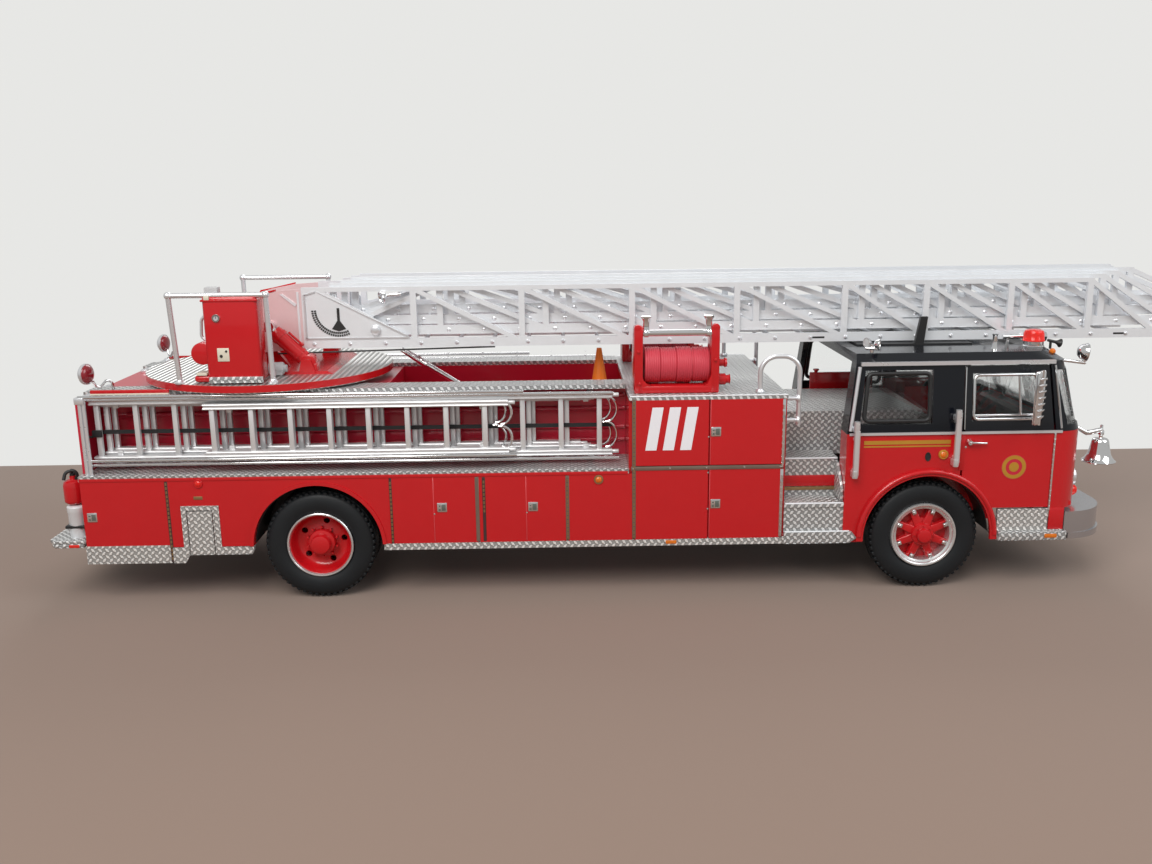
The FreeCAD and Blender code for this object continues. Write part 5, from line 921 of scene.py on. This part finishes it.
# %% [markdown]
# ## The cab
# Windows get rubber or bright frames, the doors a handle, a marker and a rolled bright edge, and the corners
# their lamps. The cab's sides lean in above the belt, so a small function gives the surface at each height.

# %% The leaning side
CAB_SIDE = 24.3             # half the cab's width below the belt
LEAN = 1.3 / 13.3           # how far it leans in for each mm above the belt
SKIN = -24.36               # outer face of thin trim on the doors


def side_y(z, proud=0):
    """The cab's right side at this height, with what stands proud of it."""
    return max(0, z - BELT) * LEAN - CAB_SIDE - proud


def on_side(outline, proud):
    return [(x, side_y(z, proud), z) for x, z in outline]


def window_line(name, x0, x1, z0, z1, bend, slant, proud, radius, sides):
    """A tube round a window in the leaning side; slant moves its upper rear corner forwards."""
    corners = [(x0, 0, z0), (x1, 0, z0), (x1, 0, z1), (x0 + slant, 0, z1)]
    line = rounded(corners + corners[:2], bend)[1:-1]
    return pipe(name, on_side([(p.x, p.z) for p in line], proud), radius, 0, sides, closed=True)


# %% Window frames
pair(window_line("gasket", 103.6, 117.6, 33.1, 43.5, 1.7, 0.9, 0.02, 0.42, 3), black_plastic)
pair(window_line("gasket_bead", 103.1, 118.1, 32.6, 44, 2, 0.9, 0, 0.13, 2), strip_grey)
parts = [window_line("door_window_frame", 124.9, 137.6, 33.5, 42.7, 1.4, 0, 0.05, 0.3, 3),
         rod("sill", (125.2, side_y(34.6, -0.3), 34.6), (137.3, side_y(34.6, -0.3), 34.6), 0.26, 12),
         rod("wing", (134.4, side_y(34.6, -0.2), 34.6), (133.9, side_y(42.6, -0.2), 42.6), 0.24, 12)]
pair(join("door_window_bright", parts), chrome)
edges = [pipe("edge", on_side([(123.7, 32), (123.7, 43.8)], 0), 0.14, 0, 2),
         pipe("edge", on_side([(142.3, 32), (140.6, 44)], -0.02), 0.2, 0, 2)]
pair(join("upper_bright_edges", edges), chrome)
shield = [(146.9, -19, 32.5), (146.9, -1, 32.5), (144.6, -1, 43.2), (144.6, -18, 43.2)]
shield_line = rounded(shield + shield[:2], 1.2)[1:-1]
pair(pipe("windshield_gasket", shield_line, 0.35, 0, 2, closed=True), black_plastic)
PIVOT = [(0, 0), (0.4, 0), (0.3, 0.5), (0, 0.5)]
wipers = []
for y in (-14, -3.5):
    wipers += [rod("arm", (147.7, y, 32), (147, y + 4.2, 36.6), 0.16, 8),
               rod("blade", (147.25, y + 1.6, 34.9), (146.5, y + 6, 38.4), 0.14, 8),
               turned("pivot", PIVOT, (147.3, y, 31.9), AHEAD, 12)]
pair(join("wipers", wipers), black_plastic)

# %% Door furniture
pair(slab("rear_seam_filler", (123, SKIN, 24), (124, -24.2, 31.2), 0.04), red_paint)
ARCH_R = 13.2
bends = [math.radians(2 + 8 * i) for i in range(23)]
flare = [(WHEELBASE - ARCH_R * math.cos(a), -24.75, TYRE_R + ARCH_R * math.sin(a)) for a in bends]
pair(pipe("arch_bead", flare, 0.5), red_paint)
parts = [strewn(rod("knuckle", (0, 0, -0.4), (0, 0, 0.4), 0.2, 8),
                [(141.15, -24.32, 16.2 + 1.02 * i) for i in range(15)]),
         slab("strip", (140.95, -24.38, 15.7), (141.35, -24.1, 31.1), 0.05)]
pair(join("door_hinge", parts), chrome)
BOSS = [(0, 0), (0.45, 0), (0.5, 0.5), (0.62, 0.8), (0, 0.8)]
handle = [turned("boss", BOSS, (124.7, -25.2, 29.6), INWARD, 16),
          rod("lever", (124.6, -25.15, 29.6), (127.9, -25.05, 29.45), 0.22, 10, 0.08)]
pair(join("door_handle", handle), chrome)
pair(rod("door_lock", (124.1, -24.45, 28.6), (124.1, -24.2, 28.6), 0.22, 12, 0.05), chrome)
round_lamp("door_marker_%s", (119.9, -24.62, 27.2), 0.98, 0.98, amber_lens, gold_leaf)
FILLER_X, FILLER_NARROW = 117, 0.62
filler = turned("fuel_filler", [(0, 0.12), (0.62, 0.1), (0.7, 0), (0.88, 0), (0.92, 0.3), (0, 0.3)],
                (FILLER_X, -24.42, 26.8), INWARD, 20)
for vertex in filler.data.vertices:
    vertex.co.x = at(FILLER_X, 0, 0).x + (vertex.co.x - at(FILLER_X, 0, 0).x) * FILLER_NARROW
pair(filler, chassis_black)
stripes = [slab("stripe", (104.6, SKIN, low), (121.2, -24.25, high), 0)
           for low, high in ((28.75, 29.03), (29.3, 30.05))]
pair(join("gold_stripes", stripes), gold_leaf)
ROUNDEL = (133.7, -24.37, 24.5)
roundel = [turned("ring", [(1.6, 0), (2.3, 0), (2.3, 0.1), (1.6, 0.1)], ROUNDEL, INWARD, 40),
           turned("disc", [(0, 0), (0.95, 0), (0.95, 0.1), (0, 0.1)], ROUNDEL, INWARD, 32)]
pair(join("gold_roundel", roundel), gold_leaf)
# A disc of painted shade that shows as a rim round the gold roundel.
shade_disc_line = [(0, 0), (2.45, 0), (2.45, 0.06), (0, 0.06)]
pair(turned("roundel_shade", shade_disc_line, (133.7, -24.33, 24.5), INWARD, 40), shade_tinted_red)

# %% Grab rails beside the doors: square feet and rounded heads
RAIL_Y = -25.9
CAP = [(0, 0), (0.56, 0.05), (0.6, 0.4), (0.56, 1.6), (0, 1.7)]
TOE = [(0, 0), (0.5, 0.1), (0.6, 0.5), (0.6, 1.5), (0, 1.6)]
parts = []
for x, low, high in ((102.7, 23.1, 34.3), (121.8, 25.1, 36.3)):
    wall = side_y(high - 1.9, 0.05)
    parts += [rod("bar", (x, RAIL_Y, low + 0.6), (x, RAIL_Y, high - 0.6), 0.5, 14),
              slab("foot", (x - 0.55, -26, low + 0.1), (x + 0.55, -24.35, low + 1.4), 0.2, 3),
              slab("head", (x - 0.5, -26.3, high - 2.4), (x + 0.5, wall, high - 1.2), 0.25, 3),
              turned("cap", CAP, (x, RAIL_Y, high - 1.7), UP, 20),
              turned("toe", TOE, (x, RAIL_Y, low), UP, 20)]
pair(join("rail_brackets", parts), tube_silver)

# %% Mirrors: heads turned outwards on arms from the door
MIRROR_X, MIRROR_Y = 136.2, -27.5


def mirror_slab(name, x0, x1, half, low, high, round_to, segments=2):
    """A slab of the mirror's head, from x0 to x1 ahead of its middle and half wide either way."""
    return slab(name, (MIRROR_X + x0, MIRROR_Y - half, low), (MIRROR_X + x1, MIRROR_Y + half, high),
                round_to, segments)


def turned_out(piece):
    return placed(piece, turn=(-48, "Z"), about=(MIRROR_X + 0.6, MIRROR_Y, 38))


parts = [mirror_slab("shell", -0.45, 0.2, 1.48, 33.4, 43.6, 0.4, 3),
         mirror_slab("rim", -0.55, -0.35, 1.5, 33.5, 43.5, 0.08),
         rod("post", (MIRROR_X + 0.1, MIRROR_Y, 33.3), (MIRROR_X + 0.1, MIRROR_Y, 43.7), 0.27, 10)]
parts += [mirror_slab("rib", 0.1, 0.55, 1.2, 34.6 + 1.2 * i, 35.1 + 1.2 * i, 0.12) for i in range(7)]
pair(turned_out(join("mirror_heads", parts)), chrome, stands_for=["mirrors"])
pair(turned_out(mirror_slab("mirror_panes", -0.6, -0.5, 1.2, 33.9, 43.1, 0.04)), brushed)
arms = [pipe("arm", [(MIRROR_X + 0.27, MIRROR_Y + 0.4, z), (MIRROR_X + 0.4, MIRROR_Y + 1.6, z),
                     (MIRROR_X + 0.6, side_y(z), z)], 0.22, 0.6) for z in (42.4, 33.9)]
pair(join("mirror_arms", arms), chrome)

# %% [markdown]
# ## The cab's roof and front
# Lamps are bowls turned about their own axis, with a pane in front. The beacon is a red dome on a bright
# base. The bumper keeps its CAD form and gains a treadplate top and two rolled edges.

# %% Beacon and markers on the roof
BEACON = (139.8, -14.6, 46.3)
base_line = [(0, 0), (2.05, 0), (2.05, 0.2), (1.9, 0.35), (1.9, 1.05), (2.05, 1.2), (0, 1.2)]
finished(turned("beacon_base", base_line, BEACON, UP, 32), chrome)
dome_line = [(0, 1.15), (2.08, 1.15), (2.1, 1.3), (1.98, 1.5), (1.92, 2.6), (1.7, 3.15), (1.2, 3.35),
             (0, 3.4)]
finished(turned("beacon_dome", dome_line, BEACON, UP, 32), red_lens, stands_for=["beacon"])
MARKER = [(0, 0), (0.35, 0.1), (0.5, 0.4), (0.5, 0.7), (0, 0.7)]
markers = [turned("marker", MARKER, (142.6, y, 45.6), (-0.3, 0, -1), 16) for y in (-17.5, -8.5, 0, 8.5, 17.5)]
finished(join("roof_markers", markers), amber_lens)
amber_line = [(0, 0), (0.55, 0.1), (0.6, 0.5), (0.3, 0.9), (0, 0.95)]
finished(turned("front_amber", amber_line, (141.7, -18.9, 45.6), UP, 16), amber_lens)

# %% Bowl lamps, their stems and a dark horn
BOWL = [(0, -0.9), (0.5, -0.84), (0.86, -0.5), (1, 0), (1.06, 0.08), (1.06, 0.22), (0.94, 0.26), (0.92, 0.12),
        (0, 0.05)]
PANE = [(0, 0.24), (0.5, 0.22), (0.93, 0.14), (0.93, 0.08), (0, 0.08)]
for name, place, way, size in (("corner_lamp", (148.5, -18.2, 45.6), (0.95, -0.2, -0.1), 1.65),
                               ("rear_roof_lamp", (107.4, -20.9, 48.1), (0.9, -0.4, 0), 0.95),
                               ("rear_roof_lamp_two", (105.6, -19.6, 48.2), (-0.9, -0.4, 0), 0.95)):
    pair(turned(name, scaled(BOWL, size, size), place, way, 28), chrome)
    pair(turned(name + "_pane", scaled(PANE, size, size), place, way), lamp_glass)
AERIAL = [(0, 0), (0.85, 0), (0.8, 0.5), (0.5, 1.2), (0.45, 3.2), (0.6, 3.6), (0, 3.7)]
stems = [rod("stem", (148.3, -18.2, 44.2), (148.5, -18.2, 43.3), 0.33, 12),
         rod("arm", (148.6, -18.2, 43.5), (144.3, -18.2, 44.1), 0.33, 12),
         rod("post", (106.5, -19.8, 45.6), (106.5, -19.8, 47.9), 0.42, 12),
         rod("bar", (105.3, -19.8, 47.2), (107.7, -20.5, 47.2), 0.36, 12),
         turned("aerial_post", AERIAL, (131.2, -17, 45.6), UP, 20)]
pair(join("lamp_stems", stems), chrome, stands_for=["roof_lamps"])
HORN = [(0, 0), (0.28, 0), (0.3, 1.6), (0.5, 2.1), (0.85, 2.5), (0.85, 2.65), (0, 2.3)]
horn = [turned("horn", HORN, (142.6, -14.6, 47.5), (1, 0, -0.25), 20),
        rod("foot", (143.2, -14.6, 45.8), (143.2, -14.6, 47.4), 0.25, 10)]
finished(join("roof_horn_dark", horn), black_plastic)

# %% Front lamps
round_lamp("head_%s_13", (148.75, -13, 20.6), 1.95, 1.5, lamp_glass, chrome, AFT, 32)
round_lamp("head_%s_17", (148.75, -17.2, 20.6), 1.95, 1.5, red_lens, chrome, AFT, 32)
low_line = [(0, -1.2), (0.8, -1.05), (1.15, -0.5), (1.2, 0), (1.2, 1.3), (0, 1.3)]
pair(turned("low_front_lamp", low_line, (148.6, -17, 17.7), AFT), red_lens)

# %% Bumper, with the panels that close it to the cab
BUMPER_FRONT, BUMPER_BEND = 154.2, 9


def plan_line(x0, x1, side, z, bend):
    """A line from the right end round the front to the left one, with rounded corners."""
    return rounded([(x0, -side, z), (x1, -side, z), (x1, side, z), (x0, side, z)], bend)


def bumper_line(z, inset):
    return plan_line(130, BUMPER_FRONT - inset, CAB_SIDE - inset, z, BUMPER_BEND - inset)[1:-1]


finished(pipe("bumper_top_edge", bumper_line(15.4, 0.2), 0.38), ladder_silver)
finished(pipe("bumper_low_edge", bumper_line(10.5, 0), 0.45), ladder_silver)
tread_line = [(p.x, p.y) for p in bumper_line(0, 0.6)] + [(144.6, 23.7), (144.6, -23.7)]
finished(flat("bumper_tread", tread_line, "Z", 15.36, 15.52), plate_bright)
skirt_line = [(p.x, p.y) for p in plan_line(141.4, 147.3, 24.2, 0, 4.9)]
finished(flat("cab_front_skirt", skirt_line, "Z", 15.5, 16.2), red_paint)
pair(slab("bumper_corner_panel", (141.3, -24.42, 11.6), (144.2, -24.1, 16.2), 0.08), red_paint)
pair(slab("cab_step_ledge", (131.4, -25.4, 10), (144.6, -24.5, 11.75), 0.12), plate_bright)
finished(rod("nose_strip_end", (147.3, -19, BELT), (147.3, 19, BELT), 0.3, 12), chrome)

# %% Bell on its bracket
BELL_X, BELL_Y = 154.3, -16
bell_line = [(2.9, 0.1), (3.15, 0), (3.2, 0.15), (2.85, 0.45), (2.6, 0.75), (2.3, 1.2), (2.1, 1.7),
             (1.95, 2.4), (1.82, 3), (1.7, 3.6), (1.6, 4.15), (1.45, 4.5), (1.2, 4.7), (0.35, 4.85),
             (0.35, 5.3), (0.55, 5.5), (0.55, 6.2), (0.3, 6.5), (0.25, 7.4), (0, 7.5), (0, 4.5), (1.1, 4.3),
             (1.5, 3), (1.9, 1.6)]
arm_line = [(x, BELL_Y, z) for x, z in ((BELL_X, 29.6), (151.5, 30.2), (149.2, 29.3), (147.6, 29.2))]
foot_line = [(0, 0), (1.1, 0), (1.1, 0.3), (0.7, 0.6), (0, 0.6)]
bell = [turned("bell", bell_line, (BELL_X, BELL_Y, 23.2), UP, 40), pipe("arm", arm_line, 0.5, 2),
        turned("foot", foot_line, (147.45, BELL_Y, 29.2), AHEAD)]
finished(join("bell_on_bracket", bell), chrome, stands_for=["bell"])
clapper = [rod("stem", (BELL_X, BELL_Y, 24.4), (BELL_X, BELL_Y, 27.5), 0.2, 8),
           turned("drop", [(0, 0), (0.5, 0.3), (0.5, 0.8), (0, 1.1)], (BELL_X, BELL_Y, 23.4), UP, 14)]
finished(join("bell_clapper", clapper), brass)

# %% [markdown]
# ## The turntable and its console
# The console is a rounded box with a round valve box at its back, a gauge, a small plate and a kick plate of
# treadplate. The handrails are straight bars into ball-shaped corners. All of it turns with the turntable.

# %% Console
parts = [slab("box", (-19, -22.6, 42.7), (-8.9, -17.7, 59), 0.75, 4),
         rod("valve_box", (-19.8, -22.2, 48.2), (-19.8, -18.2, 48.2), 2.1, 36, 0.25),
         slab("valve_neck", (-19.8, -22, 46.3), (-18, -18.4, 50.1), 0.2),
         slab("foot_box", (-21.8, -21.8, 42.7), (-18.4, -18.6, 44), 0.5, 3),
         slab("lid_edge", (-19.2, -22.75, 57.9), (-8.7, -17.6, 58.3), 0.12)]
finished(join("control_console", parts), red_paint, "turntable", ["control_pedestal"])
trim = [slab("foot_cap", (-21.3, -21.9, 44), (-19.3, -18.6, 44.5), 0.15),
        slab("corner_tab", (-18.5, -22.78, 58.2), (-17.5, -22.3, 59.05), 0.1),
        slab("plate", (-16.8, -22.72, 46.8), (-14.6, -22.5, 49.3), 0.08)]
finished(join("console_cream", trim), cream_paint, "turntable")
bezel = [(0.45, 0), (0.72, 0), (0.76, 0.12), (0.7, 0.24), (0.45, 0.26)]
finished(turned("gauge_ring", bezel, (-16.5, -22.86, 54.9), INWARD, 28), chrome, "turntable")
dial = [(0, 0.05), (0.5, 0.05), (0.5, 0.25), (0, 0.25)]
finished(turned("gauge_face", dial, (-16.5, -22.84, 54.9), INWARD), grey_paint, "turntable")
marks = [slab("needle", (-16.56, -22.83, 54.85), (-16.46, -22.76, 55.25), 0)]
for x, z, r0, r1 in ((-16.1, 47.8, 0.26, 0.3), (-15.1, 48.7, 0.2, 0.22)):
    marks.append(turned("screw", [(0, 0), (r0, 0), (r1, 0.12), (0, 0.12)], (x, -22.84, z), INWARD, 14))
finished(join("console_marks", marks), scale_black, "turntable")
kick_plate = slab("console_kick_plate", (-18.6, -23.2, 42.75), (-8.6, -22.5, 43.9), 0.12)
finished(kick_plate, plate_bright, "turntable")
finished(slab("radio_box", (-18.6, -21.8, 58.9), (-16.1, -19.8, 60.5), 0.2), grey_paint, "turntable")
grab_line = [(x, -19, z) for x, z in ((-18.2, 56.6), (-20.9, 54.6), (-21.2, 50.6), (-19.4, 49.6))]
finished(pipe("console_grab_bar", grab_line, 0.3, 1.5), tube_silver, "turntable")

# %% Handrails with ball corners
FLANGE = [(0, 0), (1, 0), (1, 0.25), (0.7, 0.5), (0.6, 0.7), (0, 0.7)]
rails = []
for x0, x1, side, top in ((-25.2, -7.3, -1, 59.05), (-24, -4.9, 1, 58.75)):
    y = side * 22
    corners = ((x0, y, top), (x1, y, top))
    feet = ((x0 + 0.5, y - side * 0.8, 42.55), (x1 + 0.2, y - side * 0.4, 42.55))
    rails.append(rod("top_bar", *corners, 0.5))
    for corner, foot in zip(corners, feet):
        rails += [rod("post", corner, foot, 0.5), ball("corner", corner, 0.72),
                  turned("flange", FLANGE, (foot[0], foot[1], 42.5), UP, 20)]
finished(join("turntable_handrails", rails), tube_silver, "turntable", ["turntable_rails"])

# %% Red rim, and the motor beside the console
rim_line = [(24.6, 0), (24.72, 0.05), (24.72, 1.3), (24.6, 1.38)]
finished(turned("turntable_rim", rim_line, (-12.8, 0, 41.1), UP, 128), red_paint, "turntable")
gear_line = [(0, 0), (1.2, 0), (1.2, 2.6), (1.05, 2.8), (0.7, 2.8), (0.7, 3.4), (0, 3.4)]
gear = [turned("gearbox", gear_line, (-9.8, -13.6, 43.9), AHEAD, 28),
        slab("cradle", (-9.6, -14.6, 42.6), (-7.2, -12.6, 43.6), 0.15)]
finished(join("winch_motor", gear), grey_paint, "turntable")

# %% Hoist cylinders: feet on the table, collars and ports on the plain barrels
parts = [rod("clevis", (-2.6, -12.2, 44.7), (-2.6, -9, 44.7), 1.5, 28, 0.25),
         slab("clevis_base", (-3.9, -12.2, 42.6), (-0.9, -9, 44.5), 0.3, 3)]
pair(join("hoist_feet", parts), red_paint, "turntable")
foot, eye = Vector((-2.8, -10.6, 44.5)), Vector((-10.2, -10.6, 51.7))
way = (eye - foot).normalized()
port = foot + way * 3.4 + Vector((1.1, 0, 1.1))
elbow, end = port + Vector((0.2, 0, 0.2)), port + Vector((0.4, 0, 0.4))
parts = [rod("sleeve", foot + way * 6.5, foot + way * 8.9, 1.45, 28, 0.1),
         rod("port", port, end, 0.45, 12, 0.08), rod("return_pipe", elbow, elbow + way * 3.4, 0.25, 10)]
for along, radius, wide in ((2, 1.62, 0.7), (7, 1.66, 0.9)):
    collar_line = [(1.3, 0), (radius, 0.08), (radius, wide - 0.08), (1.3, wide)]
    parts.append(turned("collar", collar_line, foot + way * along, way, 28))
pair(join("hoist_collars", parts), red_paint, "hoist_barrels")

# %% [markdown]
# ## The ladder
# Its chords carry a rivet at each rung's end. The gusset has raised edges, an angle scale and a pointer. The
# ticks are one small block, copied round the arc.

# %% Rivets at the rung ends
RUNG_SPACING, RUNGS = 7.1, 24
SECTION_SIDES = [           # body, y of its right side, chord z, tail x, how far a rivet stands proud
    ("ladder_base", -8.2, 46.9, -4, 0.28),
    ("ladder_second", -7.15, 49.3, 1.5, 0.14),
    ("ladder_third", -6.1, 51.3, 3.5, 0.14),
    ("ladder_fly", -5.05, 53.3, 5.5, 0.14),
]
for body, side, chord_z, tail, proud in SECTION_SIDES:
    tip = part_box(body)[1].x / MM - AXLE
    line = [(0, -proud), (0.2, -proud), (0.36, -proud / 2), (0.44, 0), (0.44, 0.1)]
    rivet = turned(body + "_rivets", line, (0, 0, 0), INWARD, 12)
    rungs = [tail + RUNG_SPACING * i for i in range(RUNGS)]
    pair(strewn(rivet, [(x + 2, side, chord_z + 0.85) for x in rungs if x < tip - 3.2]), tube_silver, body)

# %% Gusset: raised edges, boss and lamp
S = -8.2                    # y of the gusset's outer face


def raised(name, outline, proud=0.16, depth=0.1):
    """A thin form on the gusset, outlined in x and z."""
    return flat(name, outline, "Y", S - proud, S + depth)


parts = [raised("left", [(-3.6, 48.9), (-3.2, 48.9), (-3.2, 57.6), (-3.6, 57.6)]),
         raised("chamfer", [(-3.6, 57.6), (-3.2, 57.4), (-1.2, 58), (-1.2, 58.3)]),
         raised("slope", [(-0.9, 58.2), (-0.6, 57.9), (16.6, 48.9), (17, 49.1)], 0.12),
         raised("foot", [(-3.6, 48.7), (17, 48.7), (17, 49), (-3.6, 49)]),
         rod("knob", (10.4, S - 0.9, 50.4), (10.4, S + 0.1, 50.4), 0.85, 24, 0.25),
         rod("knob_collar", (10.4, S - 0.3, 50.4), (10.4, S + 0.1, 50.4), 1.05, 24, 0.08)]
pair(join("gusset_edges", parts), tube_silver, "ladder_base")
bowl_line = [(0, 1), (0.6, 0.9), (1, 0.5), (1.2, 0), (1.25, -0.1), (1.25, -0.3), (1.1, -0.34), (1, -0.1),
             (0, -0.1)]
lamp = [turned("bowl", bowl_line, (12.2, -9.6, 57), (0.8, 0.5, 0.3)),
        rod("bracket", (12.8, -9.4, 57.4), (15.8, -9, 57.6), 0.35, 12),
        rod("bolt", (15.4, -9.2, 57.6), (15.4, -8.1, 57.6), 0.4, 12)]
finished(join("ladder_lamp", lamp), chrome, "ladder_base")

# %% Angle scale and pointer
HUB = (3.1, S - 0.1, 54.5)
ANGLES = range(-22, 91, 5)
parts = [raised("pointer", [(2.85, 54.9), (3.35, 54.9), (3.35, 52.4), (4.5, 50.75), (3.1, 50.3), (1.7, 50.75),
                            (2.85, 52.4)], 0.12, 0.05)]
for near, far in ((4.35, 4.75), (4.9, 5.3)):
    tick = slab("tick", (HUB[0] - 0.15, S - 0.1, HUB[2] - far), (HUB[0] + 0.15, S + 0.05, HUB[2] - near), 0)
    parts.append(copied(tick, [{"turn": (angle, "Y"), "about": HUB} for angle in ANGLES]))
pair(join("angle_scale", parts), scale_black, "ladder_base")

# %% Heel plates, a black line under the ladder and slots in the lower chord
parts = [raised("rib", [(-8.2, 57.7), (-7.7, 57.9), (-5, 55.8), (-5.3, 55.3)], 0.18),
         raised("rib", [(-4.9, 47.4), (-4.5, 47.4), (-4.5, 58.2), (-4.9, 58.2)])]
pair(join("heel_ribs", parts), ladder_silver, "ladder_base")
edge = [(-17.2, 55.9), (-16.4, 57.2), (-13.4, 57.75), (-8.9, 58.75), (-8.9, 58.45), (-13.3, 57.4),
        (-16.2, 56.9), (-16.9, 55.8)]
pair(raised("heel_edges", edge, 0.12), red_paint, "ladder_base")
# A thin black rod along the underside of the base section.
finished(rod("black_line_under_ladder", (-9.5, -7.9, 45.9), (34, -7.9, 46.75), 0.17, 10), scale_black, "ladder_base")
# A black slab on the chord's face stands for each slot's shaded inside: painted shade.
slots = [slab("slot", (x - 1.25, S - 0.04, 47.55), (x + 1.25, S + 0.1, 47.95), 0.18, 3) for x in (99, 160)]
pair(join("chord_slots", slots), scale_black, "ladder_base")

# %% [markdown]
# ## The rear end
# Small things gather here: post and cap of the racks, the warning lamps on their wire arms, two bottles and
# the step. The bottles stand on the right side only.

# %% Rear posts of the racks, edges of the deck and of the ledge above the doors
parts = [rod("post_tube", (x, -23.55, 25.4), (x, -23.55, 40), 0.36, 14) for x in (-43, -42.25)]
parts += [slab("cap", (-43.8, -24.1, 39.2), (-42, -23, 40.5), 0.15),
          slab("head", (-43.7, -23.6, 39.6), (-42.4, -8.6, 40.3), 0.12)]
pair(join("rack_end_posts", parts), tube_silver, stands_for=["rack_posts"])
pair(slab("deck_edge", (-41.8, -21.3, 40.75), (-27, -20.8, 41.4), 0.1), red_paint)
pair(slab("deck_edge_band", (-41.8, -21.45, 40.45), (-27, -20.9, 40.75), 0.08), cream_paint)
pair(slab("ledge_red", (-44.4, OUT - 0.1, 24.3), (59.6, OUT + 0.2, 24.95), 0.06), red_paint)
pair(slab("ledge_nosing", (-44.4, OUT - 0.06, 24.95), (59.6, OUT + 0.6, 25.5), 0.12), plate_bright)

# %% Warning lamps: the left one is a shifted copy, since both are turned the same way
WARNING = (-42.5, -20.4, 44.4)
LENS = [(0, -0.95), (0.9, -0.9), (1.55, -0.65), (1.85, -0.2), (1.85, 0.2), (0, 0.25)]
CASE = [(1.8, -0.3), (1.98, -0.3), (2, 0.1), (1.9, 0.35), (1.3, 0.9), (0, 1.05), (0, 0.2), (1.8, 0.2)]
for name, line, material, stands_for in (("warning_lenses", LENS, dark_lens, ["rear_warning_lamps"]),
                                         ("warning_lamp_cases", CASE, tube_silver, [])):
    lamp = turned(name, line, WARNING, (-0.975, 0.22, 0), 36)
    finished(strewn(lamp, [(0, 0, 0), (0, -2 * WARNING[1], 0)]), material, stands_for=stands_for)
arm = [(-41.6, -19.9, 42.9), (-40.9, -19.2, 42), (-39.4, -17.8, 42.4), (-38.9, -17.4, 40.4)]
pair(pipe("warning_lamp_arms", arm, 0.26, 0.6), chrome)

# %% Bottles on the rear step
RED_BOTTLE = [(0, 0), (1.5, 0), (1.85, 0.3), (1.9, 0.6), (1.9, 3.6), (1.7, 4.3), (1.1, 4.7), (0.6, 4.8),
              (0.6, 5.4), (0, 5.5)]
bottle = turned("red_bottle", RED_BOTTLE, (-47.1, -20.9, 19.4), UP, 32)
finished(bottle, red_paint, stands_for=["extinguishers"])
SILVER_BOTTLE = [(0, 0), (1.3, 0), (1.7, 0.25), (1.8, 0.6), (1.8, 5.4), (1.9, 5.6), (1.9, 6.6), (1.5, 7),
                 (0.6, 7.1), (0, 7.1)]
finished(turned("silver_bottle", SILVER_BOTTLE, (-46.9, -20.9, 12.1), UP, 32), ladder_silver)
valve_line = [(0, 0), (0.5, 0), (0.5, 0.5), (0.3, 0.6), (0.3, 0.9), (0, 0.9)]
hose_line = [(-46.4, -21.2, 24), (-46.1, -21.3, 25.7), (-48, -21.6, 25.9), (-48.3, -22.2, 24.2)]
parts = [turned("valve", valve_line, (-47.1, -20.9, 24.8), UP, 16), pipe("hose", hose_line, 0.32, 1),
         slab("clip", (-48.9, -22.75, 14.6), (-44.6, -19.1, 15.2), 0.2)]
finished(join("bottle_fittings", parts), black_plastic)

# %% Rear step and its reflector
step = []
for x0, x1, x2, y, low, high in ((-44.5, -50.6, -51.8, 23.1, 12, 12.7), (-45, -50.5, -51.4, 23.3, 11.2, 12)):
    outline = [(x0, -24.3), (x1, -24.3), (x2, -y), (x2, y), (x1, 24.3), (x0, 24.3)]
    step.append(flat("step", outline, "Z", low, high, 0.15))
finished(join("rear_step_plate", step), plate_bright, stands_for=["rear_step"])
pair(slab("rear_reflector", (-47.8, -24.42, 11.3), (-45.8, -24.2, 11.9), 0.1), red_lens)

# %% Black sheets in the wheel arches: painted shade above and behind the tyres
shade_sheets = []
for centre, depth in ((0, -13.2), (WHEELBASE, -14.5)):
    outer, inner = ([(centre - radius * math.cos(a), TYRE_R + radius * math.sin(a))
                     for a in (math.radians(first + turn * i) for i in range(21))]
                    for radius, first, turn in ((12.35, 4, 8.6), (12.2, 176, -8.6)))
    shade_sheets += [flat("liner", outer + inner, "Y", -23.6, depth),
               flat("liner_wall", outer, "Y", depth - 0.1, depth)]
pair(join("arch_shade_sheets", shade_sheets), black_plastic)
